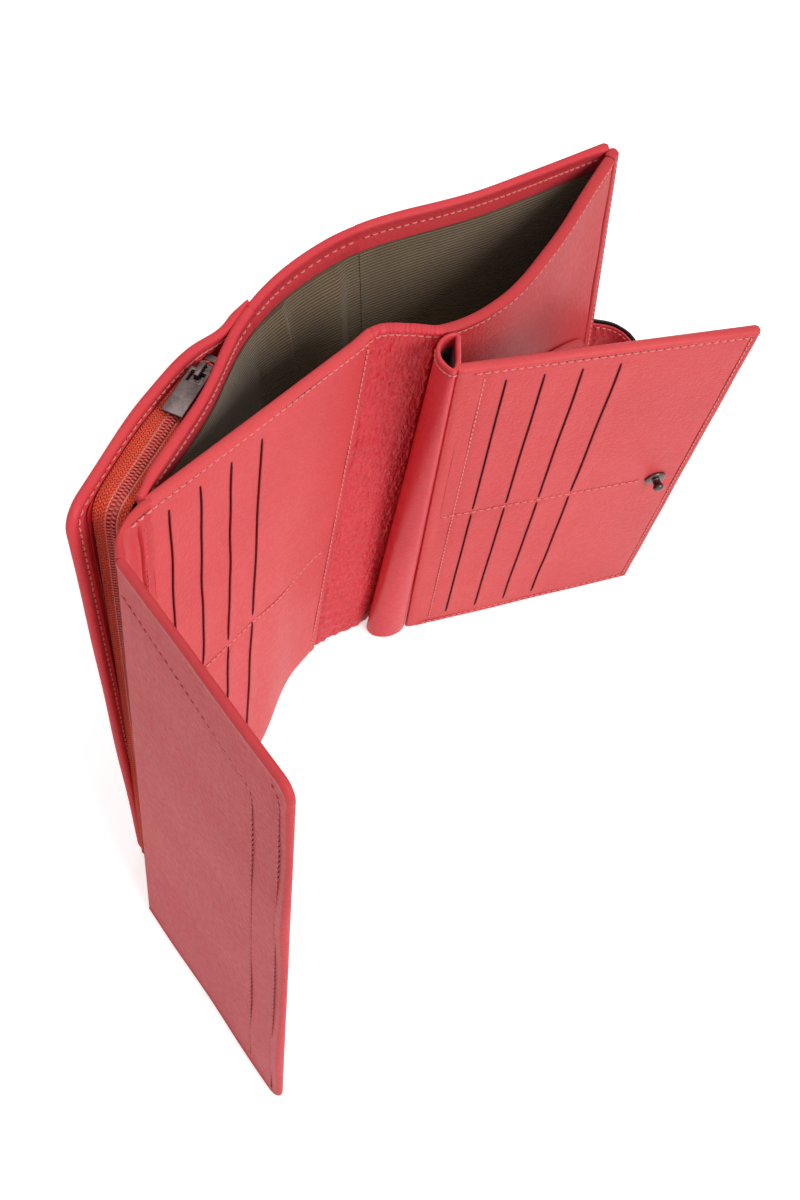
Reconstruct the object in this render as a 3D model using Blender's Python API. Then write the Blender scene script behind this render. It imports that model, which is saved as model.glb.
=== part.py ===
"""Upright leather travel wallet, standing open on its lower edges.

Every leather panel is a sheet ruled between a foot line on the table and a rim line
at the top. Places are plan points: X to the right, Y away from the front, Z up.
Stations count along a wall from its left end, and depth is measured square to the
wall, in plan, towards the front.
"""

import math

import bmesh
import bpy
from mathutils import Vector

for item in list(bpy.data.objects):
    bpy.data.objects.remove(item, do_unlink=True)

# Overall sizes
HEIGHT = 0.195
PAGE_WIDTH = 0.100
LEAF_WIDTH = 0.100
FLAP_WIDTH = 0.085

# Clearances between pieces that touch
GAP = 0.0003
LAYER_GAP = 0.0005
FOOT_GAP = 0.0008
SKIN_LIFT = 0.0008

# Leather, lining and pocket thicknesses
PANEL_T = 0.0012
POCKET_T = 0.0006
LINING_T = 0.0005
COVER_T = 0.0014
DIVIDER_T = 0.0010
LOOP_T = 0.0009
LOOP_LINING_T = 0.0004
SLIP_T = 0.0009
FLAP_T = 0.0012
FLAP_LINING_T = 0.0008
FLAP_POCKET_T = 0.0007
LEAF_BACK_T = 0.0011
STRAP_T = 0.0012
STRAP_LINING_T = 0.0009
BEND_T = 0.0012
HINGE_STRIP_T = 0.0010

# Card slits: how long, how wide and how far apart
CARD_SLIT = 0.087
SLIT_WIDTH = 0.0008
SLIT_PITCH = 0.0127
SLIT_COUNT = 4
SLIT_MARGIN = 0.0085
LEAF_SLIT_START = 0.0155
PAGE_SLIT_START = 0.0068
POCKET_MARGIN = 0.0040

# Corner radii of the free corners
LEAF_CORNER = 0.0035
FLAP_CORNER = 0.0060
COVER_CORNER = 0.0080
STRAP_CORNER = 0.0150

# Plan of the inner wall, from the left page's free edge to the right page's
INNER_RIM_SHARES = (
    (-0.738, -0.459),
    (-0.580, -0.227),
    (-0.420, 0.008),
    (-0.255, 0.251),
    (-0.202, 0.329),
    (-0.110, 0.355),
    (-0.021, 0.368),
    (0.070, 0.427),
    (0.163, 0.531),
    (0.305, 0.824),
    (0.416, 1.161),
    (0.473, 1.325),
)
INNER_FOOT_SHARES = (
    (-0.660, -0.695),
    (-0.545, -0.420),
    (-0.441, -0.140),
    (-0.360, 0.230),
    (-0.290, 0.350),
    (-0.175, 0.450),
    (-0.090, 0.545),
    (0.020, 0.680),
    (0.130, 0.820),
    (0.310, 1.040),
    (0.520, 1.300),
    (0.660, 1.470),
)
PAGE_EDGE_STEP = 0.1
PAGE_END = 3.72
STRIP_START = 3.80
STRIP_END = 6.00
RIGHT_START = 6.08
SLIP_END = 10.70
BORDER_START = 10.735
RIGHT_END = 11.0

# Plan of the outer wall's rim between its two ends, which follow the inner wall
OUTER_RIM_SHARES = (
    (-0.672, -0.060),
    (-0.604, 0.326),
    (-0.553, 0.454),
    (-0.410, 0.671),
    (0.030, 0.998),
)
OUTER_FOOT_STATION_SHARES = (0.0, 0.155, 0.300, 0.390, 0.500, 0.760, 1.0)
OUTER_PARTS = 4
JOIN = 2.0 * OUTER_PARTS
SPINE_END = 4.15 * OUTER_PARTS
OUTER_END = 6.0 * OUTER_PARTS

# Plan of the left outer cover's rim, past the seam where it joins the divider
COVER_RIM_SHARES = (
    (-0.664, 0.225),
    (-0.739, 0.120),
    (-0.825, -0.086),
    (-0.944, -0.563),
)
COVER_FOOT_STATION_SHARES = (0.80, 0.60, 0.30)
COVER_FOOT_CORNER_SHARES = (-0.778, -0.696)

# Leaf and flap: fold line, and heading of the rim and the foot in degrees
LEAF_RIM_FOLD_SHARES = (0.062, 0.222)
LEAF_FOOT_FOLD_SHARES = (0.053, 0.503)
LEAF_RIM_HEADING = 22.5
LEAF_FOOT_HEADING = 27.2
LEAF_START = 0.0034
FLAP_RIM_FOLD_SHARES = (-0.784, -0.666)
FLAP_FOOT_FOLD_SHARES = (-0.708, -0.896)
FLAP_RIM_HEADING = -45.4
FLAP_FOOT_HEADING = -45.7
FLAP_START = 0.0005
FLAP_POCKET_DROP = 0.022
FLAP_POCKET_INSET = 0.011
BEND_RIM_SHARES = ((-0.7860, -0.5280), (-0.7960, -0.5950), (-0.7875, -0.6580))
BEND_FOOT_SHARES = ((-0.6960, -0.7750), (-0.7120, -0.8350), (-0.7130, -0.8860))

# Pen loop: closed outline at the rim and at the foot
PEN_LOOP_RIM_SHARES = (
    (0.014, 0.382),
    (-0.022, 0.352),
    (-0.040, 0.305),
    (-0.031, 0.256),
    (0.004, 0.228),
    (0.038, 0.229),
    (0.050, 0.268),
    (0.044, 0.330),
)
PEN_LOOP_FOOT_SHARES = (
    (-0.050, 0.578),
    (-0.100, 0.522),
    (-0.119, 0.472),
    (-0.086, 0.436),
    (-0.026, 0.441),
    (0.022, 0.478),
    (0.034, 0.524),
    (0.000, 0.566),
)
LOOP_SAMPLES = 24

# Zip: line of the coil along the top, then round the corner and down the free edge
ZIP_DROP = 0.005
ZIP_START_SHARES = (-0.690, 0.120)
ZIP_CORNER_SHARES = (-0.850, -0.480)
ZIP_FOOT_SHARES = (-0.737, -0.713)
ZIP_FOOT_LIFT = 0.006
ZIP_BEND_R = 0.007
COIL_WIDTH = 0.0036
COIL_T = 0.0020
TAPE_T = 0.0005
TAPE_RIM_GAP = 0.0004
SLIDER_LENGTH = 0.0085
SLIDER_WIDTH = 0.0058
SLIDER_PLATE_T = 0.0010
SLIDER_FLANGE_T = 0.0008
SLIDER_AHEAD = 0.0065
BRIDGE_LENGTH = 0.0062
BRIDGE_WIDTH = 0.0016
BRIDGE_T = 0.0009
BRIDGE_CLEAR = 0.0018
PULL_LENGTH = 0.0190
PULL_WIDTH = 0.0070
PULL_T = 0.0011
PULL_ARM = 0.0012
PULL_EYE = 0.0046
STOP_LENGTH = 0.0024
STOP_WIDTH = 0.0044
STOP_T = 0.0016

# Snap on the leaf and on the strap
STUD_FROM_FOLD = 0.088
STUD_FLANGE_R = 0.0040
STUD_FLANGE_T = 0.0008
STUD_POST_R = 0.0015
STUD_POST_H = 0.0020
STUD_BALL_R = 0.0021
WASHER_R = 0.0045
WASHER_T = 0.0004
SOCKET_R = 0.0050
SOCKET_H = 0.0022
SOCKET_HOLE_R = 0.0025
CAP_R = 0.0060
CAP_H = 0.0010

# Closing strap at the right page's free edge
STRAP_HEIGHT = 0.035
STRAP_BASE = 0.014
STRAP_BEND = 0.0040
STRAP_REACH = 0.028
STRAP_TURNS = (-22.0, -48.0, -78.0, -98.0)
STRAP_LEVEL = 0.081
STRAP_SNAP_FROM_TIP = 0.0115

# How finely the sheets are cut
SHEET_STEP = 0.010
LEVEL_COUNT = 4
POCKET_LEVELS = 3
TURN_SAMPLES = 16
CORNER_SAMPLE_SHARES = (0.12, 0.45)
TINY = 0.00001


def scaled(shares):
    """Plan point from shares of the page width."""
    return Vector((shares[0] * PAGE_WIDTH, shares[1] * PAGE_WIDTH))


def heading(degrees):
    return Vector((math.cos(math.radians(degrees)), math.sin(math.radians(degrees))))


def knots_of(points):
    """Running chord length along the points."""
    total = [0.0]
    for first, second in zip(points, points[1:]):
        total.append(total[-1] + (second - first).length)
    return total


def slopes_of(points, knots):
    """Slope of a smooth curve at each of its points."""
    steps = [b - a for a, b in zip(knots, knots[1:])]
    runs = [(b - a) / h for a, b, h in zip(points, points[1:], steps)]
    slopes = [runs[0]]
    for i in range(1, len(points) - 1):
        before, after = steps[i - 1], steps[i]
        slopes.append((runs[i - 1] * after + runs[i] * before) / (before + after))
    slopes.append(runs[-1])
    return slopes


class Wall:
    """Sheet ruled between a foot line and a rim line that share their stations."""

    def __init__(self, foot, rim, low=0.0, high=HEIGHT):
        self.low = low
        self.high = high
        self.knots = knots_of(rim)
        self.lines = [(foot, slopes_of(foot, self.knots)), (rim, slopes_of(rim, self.knots))]

    def plan(self, line, station):
        points, slopes = self.lines[line]
        index = min(int(station), len(points) - 2)
        share = station - index
        span = self.knots[index + 1] - self.knots[index]
        cube, square = share ** 3, share ** 2
        place = points[index] * (2 * cube - 3 * square + 1)
        place = place + slopes[index] * (span * (cube - 2 * square + share))
        place = place + points[index + 1] * (3 * square - 2 * cube)
        return place + slopes[index + 1] * (span * (cube - square))

    def level(self, z):
        return (z - self.low) / (self.high - self.low)

    def on_face(self, station, z):
        share = self.level(z)
        return self.plan(0, station) * (1 - share) + self.plan(1, station) * share

    def square(self, station, z):
        """Plan direction square to the wall, towards the front."""
        nudge = 0.01
        ahead = min(station + nudge, len(self.knots) - 1)
        behind = max(station - nudge, 0)
        run = (self.on_face(ahead, z) - self.on_face(behind, z)).normalized()
        return Vector((run.y, -run.x))

    def at(self, station, z, depth=0.0):
        place = self.on_face(station, z) + self.square(station, z) * depth
        return Vector((place.x, place.y, z))

    def stations(self, start, end, step=SHEET_STEP):
        """Stations from start to end, about one step apart."""
        count = 60
        marks = [start + (end - start) * i / count for i in range(count + 1)]
        middle = (self.low + self.high) / 2
        run = knots_of([self.on_face(mark, middle) for mark in marks])
        pieces = max(1, round(run[-1] / step))
        return [self.walked(marks, run, run[-1] * i / pieces) for i in range(pieces + 1)]

    def walked(self, marks, run, distance):
        for i in range(len(run) - 1):
            if distance <= run[i + 1] + TINY:
                share = (distance - run[i]) / (run[i + 1] - run[i])
                return marks[i] + (marks[i + 1] - marks[i]) * min(max(share, 0.0), 1.0)
        return marks[-1]

    def station_at(self, start, distance):
        """Station that lies this far along the wall from a start."""
        count = 400
        end = len(self.knots) - 1
        marks = [start + (end - start) * i / count for i in range(count + 1)]
        middle = (self.low + self.high) / 2
        run = knots_of([self.on_face(mark, middle) for mark in marks])
        return self.walked(marks, run, distance)

    def length(self, start, end):
        count = 60
        middle = (self.low + self.high) / 2
        marks = [start + (end - start) * i / count for i in range(count + 1)]
        return knots_of([self.on_face(mark, middle) for mark in marks])[-1]


def flat_wall(foot_fold, rim_fold, foot_heading, rim_heading, width):
    """Wall of one flat panel, with a station for each end."""
    foot = [foot_fold, foot_fold + heading(foot_heading) * width]
    rim = [rim_fold, rim_fold + heading(rim_heading) * width]
    return Wall(foot, rim)


# Walls of the wallet
INNER = Wall([scaled(p) for p in INNER_FOOT_SHARES], [scaled(p) for p in INNER_RIM_SHARES])
INNER_STACK = PANEL_T + POCKET_T + LINING_T + 2 * LAYER_GAP
POCKET_BACK = -(INNER_STACK + FOOT_GAP)


def flat(point):
    return Vector((point.x, point.y))


def outer_wall():
    """Back wall of the note compartment: its foot stays close to the inner wall's."""
    last = len(INNER_FOOT_SHARES) - 1
    rim = [flat(INNER.at(0, HEIGHT, POCKET_BACK))]
    rim += [scaled(p) for p in OUTER_RIM_SHARES]
    rim.append(flat(INNER.at(last, HEIGHT, POCKET_BACK)))
    guide = Wall(rim, rim)
    fine_foot, fine_rim = [], []
    for i in range(len(rim) - 1):
        near, far = OUTER_FOOT_STATION_SHARES[i], OUTER_FOOT_STATION_SHARES[i + 1]
        for k in range(OUTER_PARTS):
            share = near + (far - near) * k / OUTER_PARTS
            fine_foot.append(flat(INNER.at(last * share, 0, POCKET_BACK)))
            fine_rim.append(guide.plan(1, i + k / OUTER_PARTS))
    fine_foot.append(flat(INNER.at(last, 0, POCKET_BACK)))
    fine_rim.append(rim[-1])
    return Wall(fine_foot, fine_rim)


OUTER = outer_wall()
DIVIDER_STACK = LINING_T + DIVIDER_T + GAP
DIVIDER_BACK = -(DIVIDER_STACK + FOOT_GAP)


def cover_wall():
    """Left outer cover, from the divider's seam round to its own free corner."""
    rim = [flat(OUTER.at(JOIN, HEIGHT, DIVIDER_BACK))]
    rim += [scaled(p) for p in COVER_RIM_SHARES]
    foot = [flat(OUTER.at(JOIN, 0, DIVIDER_BACK))]
    foot += [flat(OUTER.at(JOIN * s, 0, DIVIDER_BACK)) for s in COVER_FOOT_STATION_SHARES]
    foot.append(scaled(COVER_FOOT_CORNER_SHARES))
    return Wall(foot, rim)


COVER = cover_wall()
COVER_END = len(COVER_RIM_SHARES)
LEAF = flat_wall(
    scaled(LEAF_FOOT_FOLD_SHARES), scaled(LEAF_RIM_FOLD_SHARES),
    LEAF_FOOT_HEADING, LEAF_RIM_HEADING, LEAF_WIDTH,
)
FLAP = flat_wall(
    scaled(FLAP_FOOT_FOLD_SHARES), scaled(FLAP_RIM_FOLD_SHARES),
    FLAP_FOOT_HEADING, FLAP_RIM_HEADING, FLAP_WIDTH,
)


def bend_wall():
    """Soft bend from the left page's free edge round to the flap."""
    lines = []
    for z, shares in ((0, BEND_FOOT_SHARES), (HEIGHT, BEND_RIM_SHARES)):
        edge = flat(INNER.at(0, z, -PANEL_T / 2))
        away = (edge - flat(INNER.at(PAGE_EDGE_STEP, z, -PANEL_T / 2))).normalized()
        lines.append([edge + away * LAYER_GAP] + [scaled(p) for p in shares])
    return Wall(lines[0], lines[1])


BEND = bend_wall()
BEND_END = len(BEND_RIM_SHARES)


# Materials
COLOURS = {
    "leather": ((0.640, 0.105, 0.110), 0.42, 0.0),
    "card_leather": ((0.680, 0.110, 0.112), 0.45, 0.0),
    "back_leather": ((0.520, 0.070, 0.075), 0.42, 0.0),
    "flap_leather": ((0.560, 0.085, 0.090), 0.40, 0.0),
    "wall_leather": ((0.500, 0.075, 0.080), 0.50, 0.0),
    "grosgrain": ((0.105, 0.080, 0.055), 0.80, 0.0),
    "pocket_cloth": ((0.090, 0.060, 0.045), 0.85, 0.0),
    "zip_tape": ((0.640, 0.080, 0.050), 0.75, 0.0),
    "zip_coil": ((0.560, 0.075, 0.055), 0.45, 0.0),
    "gunmetal": ((0.110, 0.085, 0.080), 0.28, 1.0),
}


def material(node, kind):
    colour, roughness, metallic = COLOURS[kind]
    made = bpy.data.materials.new(node)
    made.use_nodes = True
    shader = made.node_tree.nodes["Principled BSDF"]
    shader.inputs["Base Color"].default_value = (*colour, 1.0)
    shader.inputs["Roughness"].default_value = roughness
    shader.inputs["Metallic"].default_value = metallic
    made.diffuse_color = (*colour, 1.0)
    return made


def pivot(name, place, parent=None):
    """Empty on a joint's axis, that carries the pieces of one moving body."""
    empty = bpy.data.objects.new(name, None)
    bpy.context.collection.objects.link(empty)
    empty["place"] = tuple(place)
    if parent is not None:
        empty.parent = parent
        place = place - Vector(parent["place"])
    empty.location = place
    return empty


def node(name, kind, verts, faces, carrier=None, smooth=False):
    """One closed piece, in world places, carried by its body's empty."""
    home = Vector(carrier["place"]) if carrier is not None else Vector()
    mesh = bpy.data.meshes.new(name)
    mesh.from_pydata([tuple(v - home) for v in verts], [], faces)
    mesh.validate()
    work = bmesh.new()
    work.from_mesh(mesh)
    bmesh.ops.recalc_face_normals(work, faces=work.faces)
    work.to_mesh(mesh)
    work.free()
    if smooth:
        mesh.shade_smooth()
        mesh.set_sharp_from_angle(angle=math.radians(40))
    made = bpy.data.objects.new(name, mesh)
    made.data.materials.append(material(name, kind))
    made.parent = carrier
    bpy.context.collection.objects.link(made)
    return made


def merged(values, tight):
    """Sorted values, where plain ones give way to fixed ones that lie close by."""
    fixed = sorted(v for v, firm in values if firm)
    plain = [v for v, firm in values if not firm and all(abs(v - f) > tight for f in fixed)]
    return sorted(set(fixed + plain))


def grid_solid(place, columns, rows, open_cells):
    """Points and triangles of a sheet of cells: place gives each corner, back and front."""
    verts = []
    index = {}
    for side in (0, 1):
        for i in range(len(columns)):
            for j in range(len(rows)):
                index[side, i, j] = len(verts)
                verts.append(place(columns[i], rows[j], side))
    solid = {
        (i, j)
        for i in range(len(columns) - 1)
        for j in range(len(rows) - 1)
        if (i, j) not in open_cells
    }
    faces = []
    for i, j in sorted(solid):
        corners = ((i, j), (i + 1, j), (i + 1, j + 1), (i, j + 1))
        back = [index[0, a, b] for a, b in corners]
        front = [index[1, a, b] for a, b in corners]
        faces.append((front[0], front[1], front[2]))
        faces.append((front[0], front[2], front[3]))
        faces.append((back[0], back[2], back[1]))
        faces.append((back[0], back[3], back[2]))
        neighbours = ((i, j - 1), (i + 1, j), (i, j + 1), (i - 1, j))
        for k, other in enumerate(neighbours):
            if other in solid:
                continue
            a, b = k, (k + 1) % 4
            faces.append((back[a], back[b], front[b]))
            faces.append((back[a], front[b], front[a]))
    used = sorted({v for face in faces for v in face})
    renumber = {old: new for new, old in enumerate(used)}
    return [verts[v] for v in used], [tuple(renumber[v] for v in face) for face in faces]


def sheet(
    name, kind, wall, start, end, back, front, carrier=None, low=0.0, high=HEIGHT,
    slits=(), radius=0.0, step=SHEET_STEP, levels=LEVEL_COUNT,
):
    """Panel of a wall between two stations, two depths and two heights."""
    columns = [(s, False) for s in wall.stations(start, end, step)]
    columns[0] = (start, True)
    columns[-1] = (end, True)
    rows = [(low + (high - low) * i / levels, i in (0, levels)) for i in range(levels + 1)]
    for left, right, bottom, top in slits:
        columns += [(left, True), (right, True)]
        rows += [(bottom, True), (top, True)]
    run = wall.length(start, end)
    if radius:
        for share in CORNER_SAMPLE_SHARES:
            columns.append((end - (end - start) * share * radius / run, True))
        columns.append((end - (end - start) * radius / run, True))
        rows += [(low + radius, True), (high - radius, True)]
    columns = merged(columns, (end - start) * step / run / 3)
    rows = merged(rows, (high - low) / levels / 3)
    open_cells = set()
    for left, right, bottom, top in slits:
        for i, column in enumerate(columns[:-1]):
            for j, row in enumerate(rows[:-1]):
                inside = left - TINY < column < right - TINY
                if inside and bottom - TINY < row < top - TINY:
                    open_cells.add((i, j))

    def rounded(station, z):
        """Height of a point once the free corners are rounded."""
        left_over = run * (end - station) / (end - start)
        if not radius or left_over >= radius:
            return z
        inset = radius - max(left_over, radius * CORNER_SAMPLE_SHARES[0] / 2)
        rise = math.sqrt(radius ** 2 - inset ** 2)
        if z > high - radius:
            return high - radius + (z - high + radius) * rise / radius
        if z < low + radius:
            return low + radius - (low + radius - z) * rise / radius
        return z

    def place(station, z, side):
        return wall.at(station, rounded(station, z), front if side else back)

    verts, faces = grid_solid(place, columns, rows, open_cells)
    return node(name, kind, verts, faces, carrier)


def slit_cells(wall, first, turn):
    """Card slits of a panel in two rows, counted from the panel's hinge side."""
    cells = []
    middle = HEIGHT / 2
    upper = (HEIGHT - SLIT_MARGIN - CARD_SLIT, HEIGHT - SLIT_MARGIN)
    lower = (SLIT_MARGIN, SLIT_MARGIN + CARD_SLIT)
    for i in range(SLIT_COUNT):
        near = wall.station_at(turn, first + SLIT_PITCH * i)
        far = wall.station_at(turn, first + SLIT_PITCH * i + SLIT_WIDTH)
        for bottom, top in (lower, upper):
            low = max(bottom, GAP) if bottom < middle else bottom
            cells.append((near, far, low, top))
    return cells


# Bodies and their joints
SPINE_AXIS_STATION = (STRIP_START + STRIP_END) / 2
SPINE_AXIS_AHEAD = 0.013  # half of what the closed wallet holds between its two pages
spine_place = INNER.at(SPINE_AXIS_STATION, 0, SPINE_AXIS_AHEAD)
spine_top = INNER.at(SPINE_AXIS_STATION, HEIGHT, SPINE_AXIS_AHEAD)
spine_mid = (spine_place + spine_top) / 2
spine_pivot = pivot("spine_fold_axis", Vector((spine_mid.x, spine_mid.y, 0)))
LEAF_AXIS_DEPTH = -(PANEL_T + LEAF_BACK_T + POCKET_T + LAYER_GAP + GAP) / 2
LEAF_AXIS_S = (LEAF_START / 2) / LEAF_WIDTH
leaf_pivot = pivot("leaf_fold_axis", LEAF.at(LEAF_AXIS_S, 0, LEAF_AXIS_DEPTH), spine_pivot)
leaf_axis_top = LEAF.at(LEAF_AXIS_S, HEIGHT, LEAF_AXIS_DEPTH)
flap_pivot = pivot("flap_fold_axis", BEND.at(1.6, 0))
flap_axis_top = BEND.at(1.6, HEIGHT)

# Left page: card panel, pocket linings and note compartment lining
page_slits = slit_cells(INNER, PAGE_SLIT_START, 0.0)
sheet("left_card_panel", "card_leather", INNER, 0.0, PAGE_END, -PANEL_T, 0.0, slits=page_slits)
pocket_front = -(PANEL_T + LAYER_GAP)
pocket_back = pocket_front - POCKET_T
half_gap = GAP * 4
pocket_rows = (
    ("upper", HEIGHT / 2 + half_gap, HEIGHT - POCKET_MARGIN),
    ("lower", POCKET_MARGIN, HEIGHT / 2 - half_gap),
)
PAGE_POCKET_START = 0.12
PAGE_POCKET_END = 3.22
for row, low, high in pocket_rows:
    sheet(
        "left_" + row + "_pockets", "pocket_cloth", INNER, PAGE_POCKET_START, PAGE_POCKET_END,
        pocket_back, pocket_front, low=low, high=high, levels=POCKET_LEVELS,
    )
lining_front = pocket_back - LAYER_GAP
lining_back = lining_front - LINING_T
sheet(
    "left_page_lining", "grosgrain", INNER, 0.0, PAGE_END, lining_back, lining_front,
    low=SKIN_LIFT,
)

# Divider between the note compartment and the zip pocket
leather_front = -(LINING_T + GAP)
sheet("divider_lining", "grosgrain", OUTER, 0.0, JOIN, -LINING_T, 0.0, low=SKIN_LIFT)
sheet("divider_panel", "back_leather", OUTER, 0.0, JOIN, leather_front - DIVIDER_T, leather_front)

# Left outer cover of the zip pocket, whose wall runs from the seam and so faces out
cover_inside = LINING_T + GAP
sheet(
    "left_outer_lining", "wall_leather", COVER, 0.0, COVER_END, 0.0, LINING_T,
    low=SKIN_LIFT, high=HEIGHT - SKIN_LIFT, radius=COVER_CORNER,
)
sheet(
    "left_outer_cover", "leather", COVER, 0.0, COVER_END,
    cover_inside, cover_inside + COVER_T, radius=COVER_CORNER,
)

# Spine cover, which flexes as the wallet folds
SPINE_START = JOIN + 0.25
sheet("spine_lining", "grosgrain", OUTER, SPINE_START, SPINE_END, -LINING_T, 0.0, low=SKIN_LIFT)
sheet("spine_cover", "leather", OUTER, SPINE_START, SPINE_END, leather_front - COVER_T, leather_front)
sheet("inner_spine_strip", "leather", INNER, STRIP_START, STRIP_END, -PANEL_T, 0.0, step=SHEET_STEP / 2)
sheet(
    "inner_spine_lining", "grosgrain", INNER, STRIP_START, STRIP_END,
    lining_back, lining_front, low=SKIN_LIFT, step=SHEET_STEP / 2,
)

# Right half: back cover, inner wall and slip pockets
right_start = SPINE_END + 0.25
sheet(
    "right_cover_lining", "grosgrain", OUTER, right_start, OUTER_END, -LINING_T, 0.0,
    spine_pivot, low=SKIN_LIFT,
)
sheet(
    "right_back_cover", "back_leather", OUTER, right_start, OUTER_END,
    leather_front - COVER_T, leather_front, spine_pivot,
)
sheet(
    "right_inner_lining", "grosgrain", INNER, RIGHT_START, RIGHT_END,
    lining_back, lining_front, spine_pivot, low=SKIN_LIFT,
)
sheet(
    "right_slip_panel", "wall_leather", INNER, RIGHT_START, SLIP_END, -PANEL_T, 0.0, spine_pivot,
)
sheet(
    "right_edge_border", "wall_leather", INNER, BORDER_START, RIGHT_END, -PANEL_T, 0.0, spine_pivot,
)
SLIP_POCKET_TOP = HEIGHT * 0.74
SLIP_START = 7.6
sheet(
    "right_slip_pocket", "card_leather", INNER, SLIP_START, SLIP_END - 0.12, GAP, GAP + SLIP_T,
    spine_pivot, high=SLIP_POCKET_TOP,
)


class Outline:
    """Closed ring of smooth points, whose shape changes evenly from foot to rim."""

    def __init__(self, foot, rim):
        self.rings = (foot, rim)

    def plan(self, line, turn):
        ring = self.rings[line]
        count = len(ring)
        index = int(math.floor(turn * count))
        share = turn * count - index
        before, here, after, beyond = (ring[(index + k) % count] for k in (-1, 0, 1, 2))
        pull = (after - before) / 2
        push = (beyond - here) / 2
        cube, square = share ** 3, share ** 2
        place = here * (2 * cube - 3 * square + 1) + pull * (cube - 2 * square + share)
        return place + after * (3 * square - 2 * cube) + push * (cube - square)

    def at(self, turn, z, inset):
        """Point on the ring, moved in from its face."""
        share = z / HEIGHT

        def spot(t):
            return self.plan(0, t % 1.0) * (1 - share) + self.plan(1, t % 1.0) * share

        run = (spot(turn + 0.01) - spot(turn - 0.01)).normalized()
        place = spot(turn) + Vector((-run.y, run.x)) * inset
        return Vector((place.x, place.y, z))


def ring_wall(name, kind, outline, outside, inside, low, high, carrier):
    """Tube whose wall lies between two insets from its outline."""
    count, levels = LOOP_SAMPLES, LEVEL_COUNT
    verts = []
    for inset in (outside, inside):
        for j in range(levels + 1):
            z = low + (high - low) * j / levels
            verts += [outline.at(i / count, z, inset) for i in range(count)]
    layer = count * (levels + 1)
    faces = []
    for i in range(count):
        following = (i + 1) % count
        for j in range(levels):
            a, b = j * count + i, j * count + following
            c, d = b + count, a + count
            faces += [(a, b, c), (a, c, d)]
            faces += [(a + layer, c + layer, b + layer), (a + layer, d + layer, c + layer)]
        top = levels * count
        faces += [(i, following + layer, following), (i, i + layer, following + layer)]
        faces += [(top + i, top + following, top + following + layer)]
        faces += [(top + i, top + following + layer, top + i + layer)]
    return node(name, kind, verts, faces, carrier)


# Pen loop beside the leaf
LOOP = Outline([scaled(p) for p in PEN_LOOP_FOOT_SHARES], [scaled(p) for p in PEN_LOOP_RIM_SHARES])
ring_wall("pen_loop", "leather", LOOP, 0.0, LOOP_T, 0.0, HEIGHT, spine_pivot)
ring_wall(
    "pen_loop_lining", "pocket_cloth", LOOP, LOOP_T + GAP, LOOP_T + GAP + LOOP_LINING_T,
    SKIN_LIFT, HEIGHT - SKIN_LIFT, spine_pivot,
)

# Leaf: card panel, pocket linings and back panel, on a thin hinge strip
leaf_start = LEAF_START / LEAF_WIDTH
leaf_slits = slit_cells(LEAF, LEAF_SLIT_START, 0.0)
sheet(
    "leaf_card_panel", "card_leather", LEAF, leaf_start, 1.0, -PANEL_T, 0.0, leaf_pivot,
    slits=leaf_slits, radius=LEAF_CORNER, step=2 * SHEET_STEP,
)
stud_station = STUD_FROM_FOLD / LEAF_WIDTH
pocket_end = stud_station - 2 * WASHER_R / LEAF_WIDTH
leaf_pocket_start = leaf_start + POCKET_MARGIN / LEAF_WIDTH
for row, low, high in pocket_rows:
    sheet(
        "leaf_" + row + "_pockets", "pocket_cloth", LEAF, leaf_pocket_start, pocket_end,
        pocket_back, pocket_front, leaf_pivot, low=low, high=high, levels=POCKET_LEVELS,
        step=2 * SHEET_STEP,
    )
leaf_back_front = pocket_back - GAP
sheet(
    "leaf_back_panel", "leather", LEAF, leaf_start, 1.0, leaf_back_front - LEAF_BACK_T,
    leaf_back_front, leaf_pivot, radius=LEAF_CORNER, step=2 * SHEET_STEP,
)
strip_back = LEAF_AXIS_DEPTH - HINGE_STRIP_T / 2
sheet(
    "leaf_hinge_strip", "leather", LEAF, GAP / LEAF_WIDTH, leaf_start - GAP / LEAF_WIDTH,
    strip_back, strip_back + HINGE_STRIP_T, leaf_pivot, low=SKIN_LIFT, high=HEIGHT - SKIN_LIFT,
)

# Flap on a soft bend at the left page's free edge
flap_start = FLAP_START / FLAP_WIDTH
sheet(
    "flap_outer", "flap_leather", FLAP, flap_start, 1.0, -FLAP_T, 0.0, flap_pivot,
    radius=FLAP_CORNER, step=2 * SHEET_STEP,
)
flap_lining_front = -(FLAP_T + GAP)
sheet(
    "flap_inner", "leather", FLAP, flap_start, 1.0, flap_lining_front - FLAP_LINING_T,
    flap_lining_front, flap_pivot, radius=FLAP_CORNER, step=2 * SHEET_STEP,
)
flap_pocket_front = flap_lining_front - FLAP_LINING_T - GAP
sheet(
    "flap_pocket", "card_leather", FLAP, flap_start, 1.0 - FLAP_POCKET_INSET / FLAP_WIDTH,
    flap_pocket_front - FLAP_POCKET_T, flap_pocket_front, flap_pivot,
    high=HEIGHT - FLAP_POCKET_DROP, step=2 * SHEET_STEP,
)
sheet(
    "flap_bend", "flap_leather", BEND, 0.0, BEND_END, -BEND_T / 2, BEND_T / 2,
    flap_pivot, low=SKIN_LIFT, step=SHEET_STEP / 3,
)


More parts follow.
